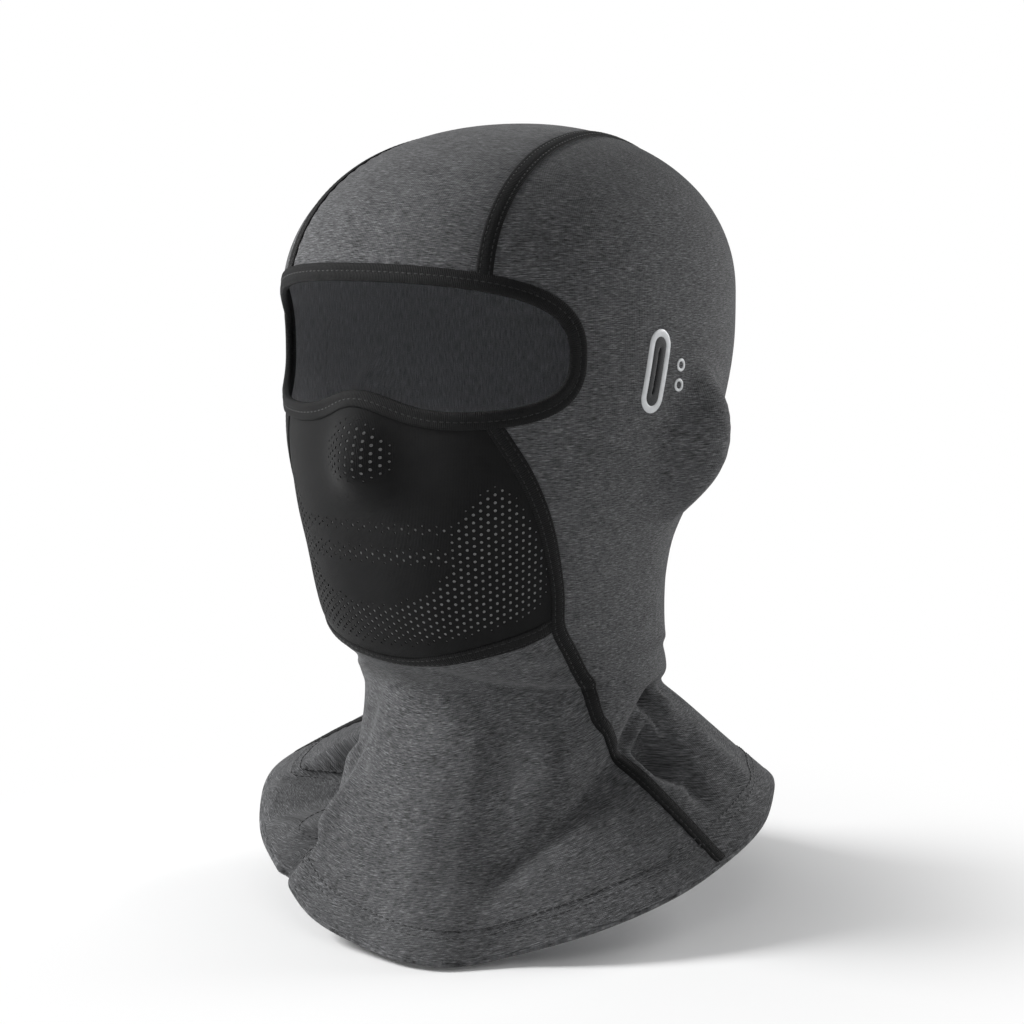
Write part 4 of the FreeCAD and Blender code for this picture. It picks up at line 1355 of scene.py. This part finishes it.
def mask_flat(rim):
    """The mask laid flat: points and triangles inside its rim, with the round holes left open."""
    points = list(rim)
    edges = [(k, (k + 1) % len(rim)) for k in range(len(rim))]
    holes = list(zip(*perforations(rim)))
    for x, z, size in holes:
        squeeze = WIDE / (float(radius(x / WIDE, z)) * math.pi / 180.0)
        base = len(points)
        for k in range(HOLE_CORNERS):
            a = 2.0 * math.pi * k / HOLE_CORNERS
            points.append((x + size * math.cos(a) * squeeze, z + size * math.sin(a)))
        edges += [(base + k, base + (k + 1) % HOLE_CORNERS) for k in range(HOLE_CORNERS)]
    gx, gz = np.meshgrid(np.arange(-100.0, 100.0, MASK_CELL), np.arange(100.0, 220.0, MASK_CELL))
    gx[1::2] += MASK_CELL / 2.0
    keep = polygon_depth(gx, gz, rim) > 0.8
    for x, z, _ in holes:
        keep &= np.hypot(gx - x, gz - z) > 1.15
    points += list(zip(gx[keep].tolist(), gz[keep].tolist()))
    made = delaunay_2d_cdt([Vector(p) for p in points], edges, [], 0, 1e-5)
    flat = np.array([tuple(v) for v in made[0]])
    tris = np.array([tuple(f) for f in made[2]])
    middle = flat[tris].mean(axis=1)
    keep = in_polygon(middle[:, 0], middle[:, 1], rim)
    for x, z, size in holes:
        keep &= np.hypot(middle[:, 0] - x, middle[:, 1] - z) > size * 0.93
    tris = tris[keep]
    used = np.unique(tris)
    return flat[used], renumbered(used, len(flat))[tris]


def build_mask():
    """The mask's cloth, sunk a little at its seams, and the lining behind it."""
    ring = eye_ring(CLOTH_INSET)
    top = arc_of(ring, mask_index(ring, -1), mask_index(ring, 1))
    foot = foot_course(150)
    left = front_course(1, top[-1][2], foot[-1][2], 70)
    right = front_course(-1, top[0][2], foot[0][2], 70)
    top = resample(top, 90)
    b, s = chart(np.vstack([top[:-1], left[:-1], foot[::-1][:-1], right[::-1][:-1]]))
    rim = [(float(p) * WIDE, float(q)) for p, q in zip(b, s)]
    flat, tris = mask_flat(rim)
    sink = -0.3 * np.exp(-(polygon_depth(flat[:, 0], flat[:, 1], rim) / 3.0) ** 2)
    vertices, faces, _ = slab(place(flat[:, 0] / WIDE, flat[:, 1]), tris, sink, -MASK_CLOTH)
    add_piece("mask_cloth", vertices, faces, np.vstack([flat, flat]), [BLACK], "black_knit", ("face_mask",),
              "hood", sharp=60.0)
    build_lining(top, left, right, foot)


def build_lining(top, left, right, foot):
    """Pale mesh close behind the mask."""
    grid = coons(resample(top, 70), resample(foot, 70), resample(right, 50), resample(left, 50))
    grid = grid[5:-3, 3:-3]
    points = grid.reshape(-1, 3)
    vertices, faces, _ = slab(points, grid_faces(*grid.shape[:2]), -MASK_CLOTH - 0.05, -MASK_CLOTH - 0.65)
    uv = np.vstack([chart_uv(points)] * 2)
    add_piece("lining_mesh", vertices, faces, uv, [MESH], "mesh_lining", ("mask_lining",), "hood")


# ---------------------------------------------------------------- spectacle slots and dots
def slot_frame(side):
    """Centre of a slot on the form, and the directions across it and along it."""
    points, _ = cad_mesh(["slot_ring_" + SIDE[side]])
    centre = onto((points.min(axis=0) + points.max(axis=0))[None] / 2.0)
    _, _, axes = np.linalg.svd(points - points.mean(axis=0), full_matrices=False)
    out = normal(centre)[0]
    across = unit(np.cross(axes[0] * np.sign(axes[0][2]), out))
    return centre[0], across, np.cross(out, across)


def slot_coordinates(slot, points):
    centre, across, along = slot
    return (points - centre) @ across, (points - centre) @ along


def stadium(width, height, count):
    """Evenly spaced points round a slot outline."""
    r = width / 2.0
    a = np.linspace(0.0, math.pi, 40)
    half = np.stack([r * np.cos(a), (height - width) / 2.0 + r * np.sin(a)], axis=1)
    return resample(np.vstack([half, -half, half[:1]]), count + 1)[:-1]


def slot_piece(name, side, outer, inner, section, material, slot, nodes):
    """Closed band between two slot outlines; section holds (share from outer to inner, offset)."""
    here = slot_frame(side)
    centre, across, along = here
    a, b = stadium(*outer, 120), stadium(*inner, 120)
    rows = []
    for share, offset in section:
        flat = a * (1.0 - share) + b * share
        rows.append(lift(onto(centre + across * flat[:, :1] + along * flat[:, 1:]), offset))
    vertices, faces = swept(np.stack(rows, axis=1), True)
    uv = np.stack(slot_coordinates(here, vertices), axis=1)
    add_piece(name, vertices, faces, uv, [material], slot, nodes, "hood", sharp=60.0)


# Width and height of the outlines of the ring, its bore, the patch, the slit in it, the backing inside
# the cloth and the slit between the backing's lips, which all but meet.
RING_SIZE = (13.2, 33.2)
RING_BORE = (7.4, 27.4)
PATCH_SIZE = (7.6, 27.6)
SLIT_SIZE = (1.3, 18.5)
FACING_SIZE = (10.0, 30.0)
LIPS_SIZE = (0.05, 18.1)
RING_SECTION = ((0.0, -0.2), (0.0, 0.16), (0.08, 0.30), (0.25, 0.38), (0.75, 0.38), (0.92, 0.30),
                (1.0, 0.16), (1.0, -0.2))
PATCH_SECTION = ((0.0, -0.3), (0.0, 0.12), (0.08, 0.22), (0.5, 0.26), (0.85, 0.20), (0.97, 0.05),
                 (1.0, -0.25), (1.0, -0.85), (0.5, -0.85), (0.3, -0.5))
FACING_SECTION = ((0.0, -1.05), (0.0, -1.25), (0.1, -1.40), (0.9, -1.40), (1.0, -1.25), (1.0, -0.9),
                  (0.5, -0.9))
DOT_SECTION = ((0.56, -0.2), (0.56, 0.14), (0.60, 0.26), (0.68, 0.33), (0.88, 0.33), (0.96, 0.26),
               (1.0, 0.14), (1.0, -0.2))
DOT_CORNERS = 36


def build_slots():
    for side, name in SIDE.items():
        slot_piece("film_ring_" + name, side, RING_SIZE, RING_BORE, RING_SECTION, FILM, "reflective",
                   ("slot_ring_" + name,))
        slot_piece("slit_patch_" + name, side, PATCH_SIZE, SLIT_SIZE, PATCH_SECTION, PATCH, "slot_patch",
                   ("slot_patch_" + name,))
        slot_piece("slit_facing_" + name, side, FACING_SIZE, LIPS_SIZE, FACING_SECTION, INSIDE,
                   "heather_knit", ())
        build_dots(side)


def build_dots(side):
    """Two round dots of film with soft edges and an open middle."""
    node_name = "reflective_dots_" + SIDE[side]
    points, _ = cad_mesh([node_name])
    middle = (points[:, 2].min() + points[:, 2].max()) / 2.0
    dots, uvs = [], []
    a = np.linspace(0.0, 2.0 * math.pi, DOT_CORNERS, endpoint=False)[:, None]
    for upper in (False, True):
        some = points[(points[:, 2] > middle) == upper]
        centre = onto(((some.min(axis=0) + some.max(axis=0)) / 2.0)[None])
        size = np.ptp(some[:, 2]) / 2.0
        out = normal(centre)[0]
        along = unit(np.cross(out, np.array([0.0, 1.0, 0.0])))
        across = np.cross(along, out)
        way = np.cos(a) * across + np.sin(a) * along
        rows = [lift(onto(centre + size * share * way), offset) for share, offset in DOT_SECTION]
        dots.append(swept(np.stack(rows, axis=1), True))
        away = dots[-1][0] - centre[0]
        uvs.append(np.stack([away @ across, away @ along], axis=1))
    add_piece("film_dots_" + SIDE[side], *joined(dots), np.vstack(uvs), [FILM], "reflective", (node_name,),
              "hood", sharp=60.0)


build_crown()
for which in (1, -1):
    build_side(which)
build_front()
build_hem()
build_hem_stitches()
build_tapes()
build_binding()
build_mask()
build_slots()


# ---------------------------------------------------------------- stage
AZIMUTH = 35.0
ELEVATION = 7.7
DISTANCE = 1.100
LENS = 92.8
FLOOR_SIZE = 8.0
FLOOR_GAP = 0.002        # between the floor and the hem's lowest point
# Lights: metres ahead of (towards the camera), right of and above the middle, size, power.
LIGHTS = {"key": ((0.0, -1.2, 0.7), 0.6, 25.0), "fill": ((1.3, 0.05, 1.0), 1.0, 3.3),
          "back": ((-0.65, 1.1, 0.45), 0.8, 11.0)}


def add_area(name, spot, target, size, power):
    lamp = bpy.data.lights.new(name, "AREA")
    lamp.shape = "DISK"
    lamp.size = size
    lamp.energy = power
    obj = bpy.data.objects.new(name, lamp)
    obj.location = spot
    obj.rotation_euler = (target - spot).to_track_quat("-Z", "Y").to_euler()
    bpy.context.scene.collection.objects.link(obj)


def build_stage():
    level = CAD_BOX[0][2] - FLOOR_GAP
    signs = ((-1, -1), (1, -1), (1, 1), (-1, 1))
    corners = [(x * FLOOR_SIZE, y * FLOOR_SIZE, level) for x, y in signs]
    mesh = bpy.data.meshes.new("floor")
    mesh.from_pydata(corners, [], [(0, 1, 2, 3)])
    floor = bpy.data.objects.new("floor", mesh)
    mesh.materials.append(floor_material())
    bpy.context.scene.collection.objects.link(floor)
    world = bpy.data.worlds.new("studio")
    world.use_nodes = True
    tree = world.node_tree
    tree.nodes.clear()
    seen = node(tree, "ShaderNodeBackground", {0: (1.0, 1.0, 1.0, 1.0), 1: 1.0})
    light = node(tree, "ShaderNodeBackground", {0: (0.98, 0.99, 1.0, 1.0), 1: 0.172})
    path = node(tree, "ShaderNodeLightPath")
    both = node(tree, "ShaderNodeMixShader", {0: path.outputs["Is Camera Ray"], 1: light.outputs[0],
                                              2: seen.outputs[0]})
    node(tree, "ShaderNodeOutputWorld", {0: both.outputs[0]})
    bpy.context.scene.world = world
    bpy.context.scene.view_settings.view_transform = "Standard"


def build_camera():
    middle = Vector([(a + b) / 2.0 for a, b in zip(*CAD_BOX)])
    a, e = math.radians(AZIMUTH), math.radians(ELEVATION)
    way = Vector((math.sin(a) * math.cos(e), -math.cos(a) * math.cos(e), math.sin(e)))
    data = bpy.data.cameras.new("camera")
    data.lens = LENS
    data.clip_start = 0.01
    camera = bpy.data.objects.new("camera", data)
    camera.location = middle + way * DISTANCE
    camera.rotation_euler = (-way).to_track_quat("-Z", "Y").to_euler()
    bpy.context.scene.collection.objects.link(camera)
    bpy.context.scene.camera = camera
    right = Vector((math.cos(a), math.sin(a), 0.0))
    ahead = Vector((math.sin(a), -math.cos(a), 0.0))
    for name, ((forward, aside, up), size, power) in LIGHTS.items():
        spot = middle + ahead * forward + right * aside + Vector((0.0, 0.0, up))
        add_area(name, spot, middle, size, power)


build_stage()
build_camera()
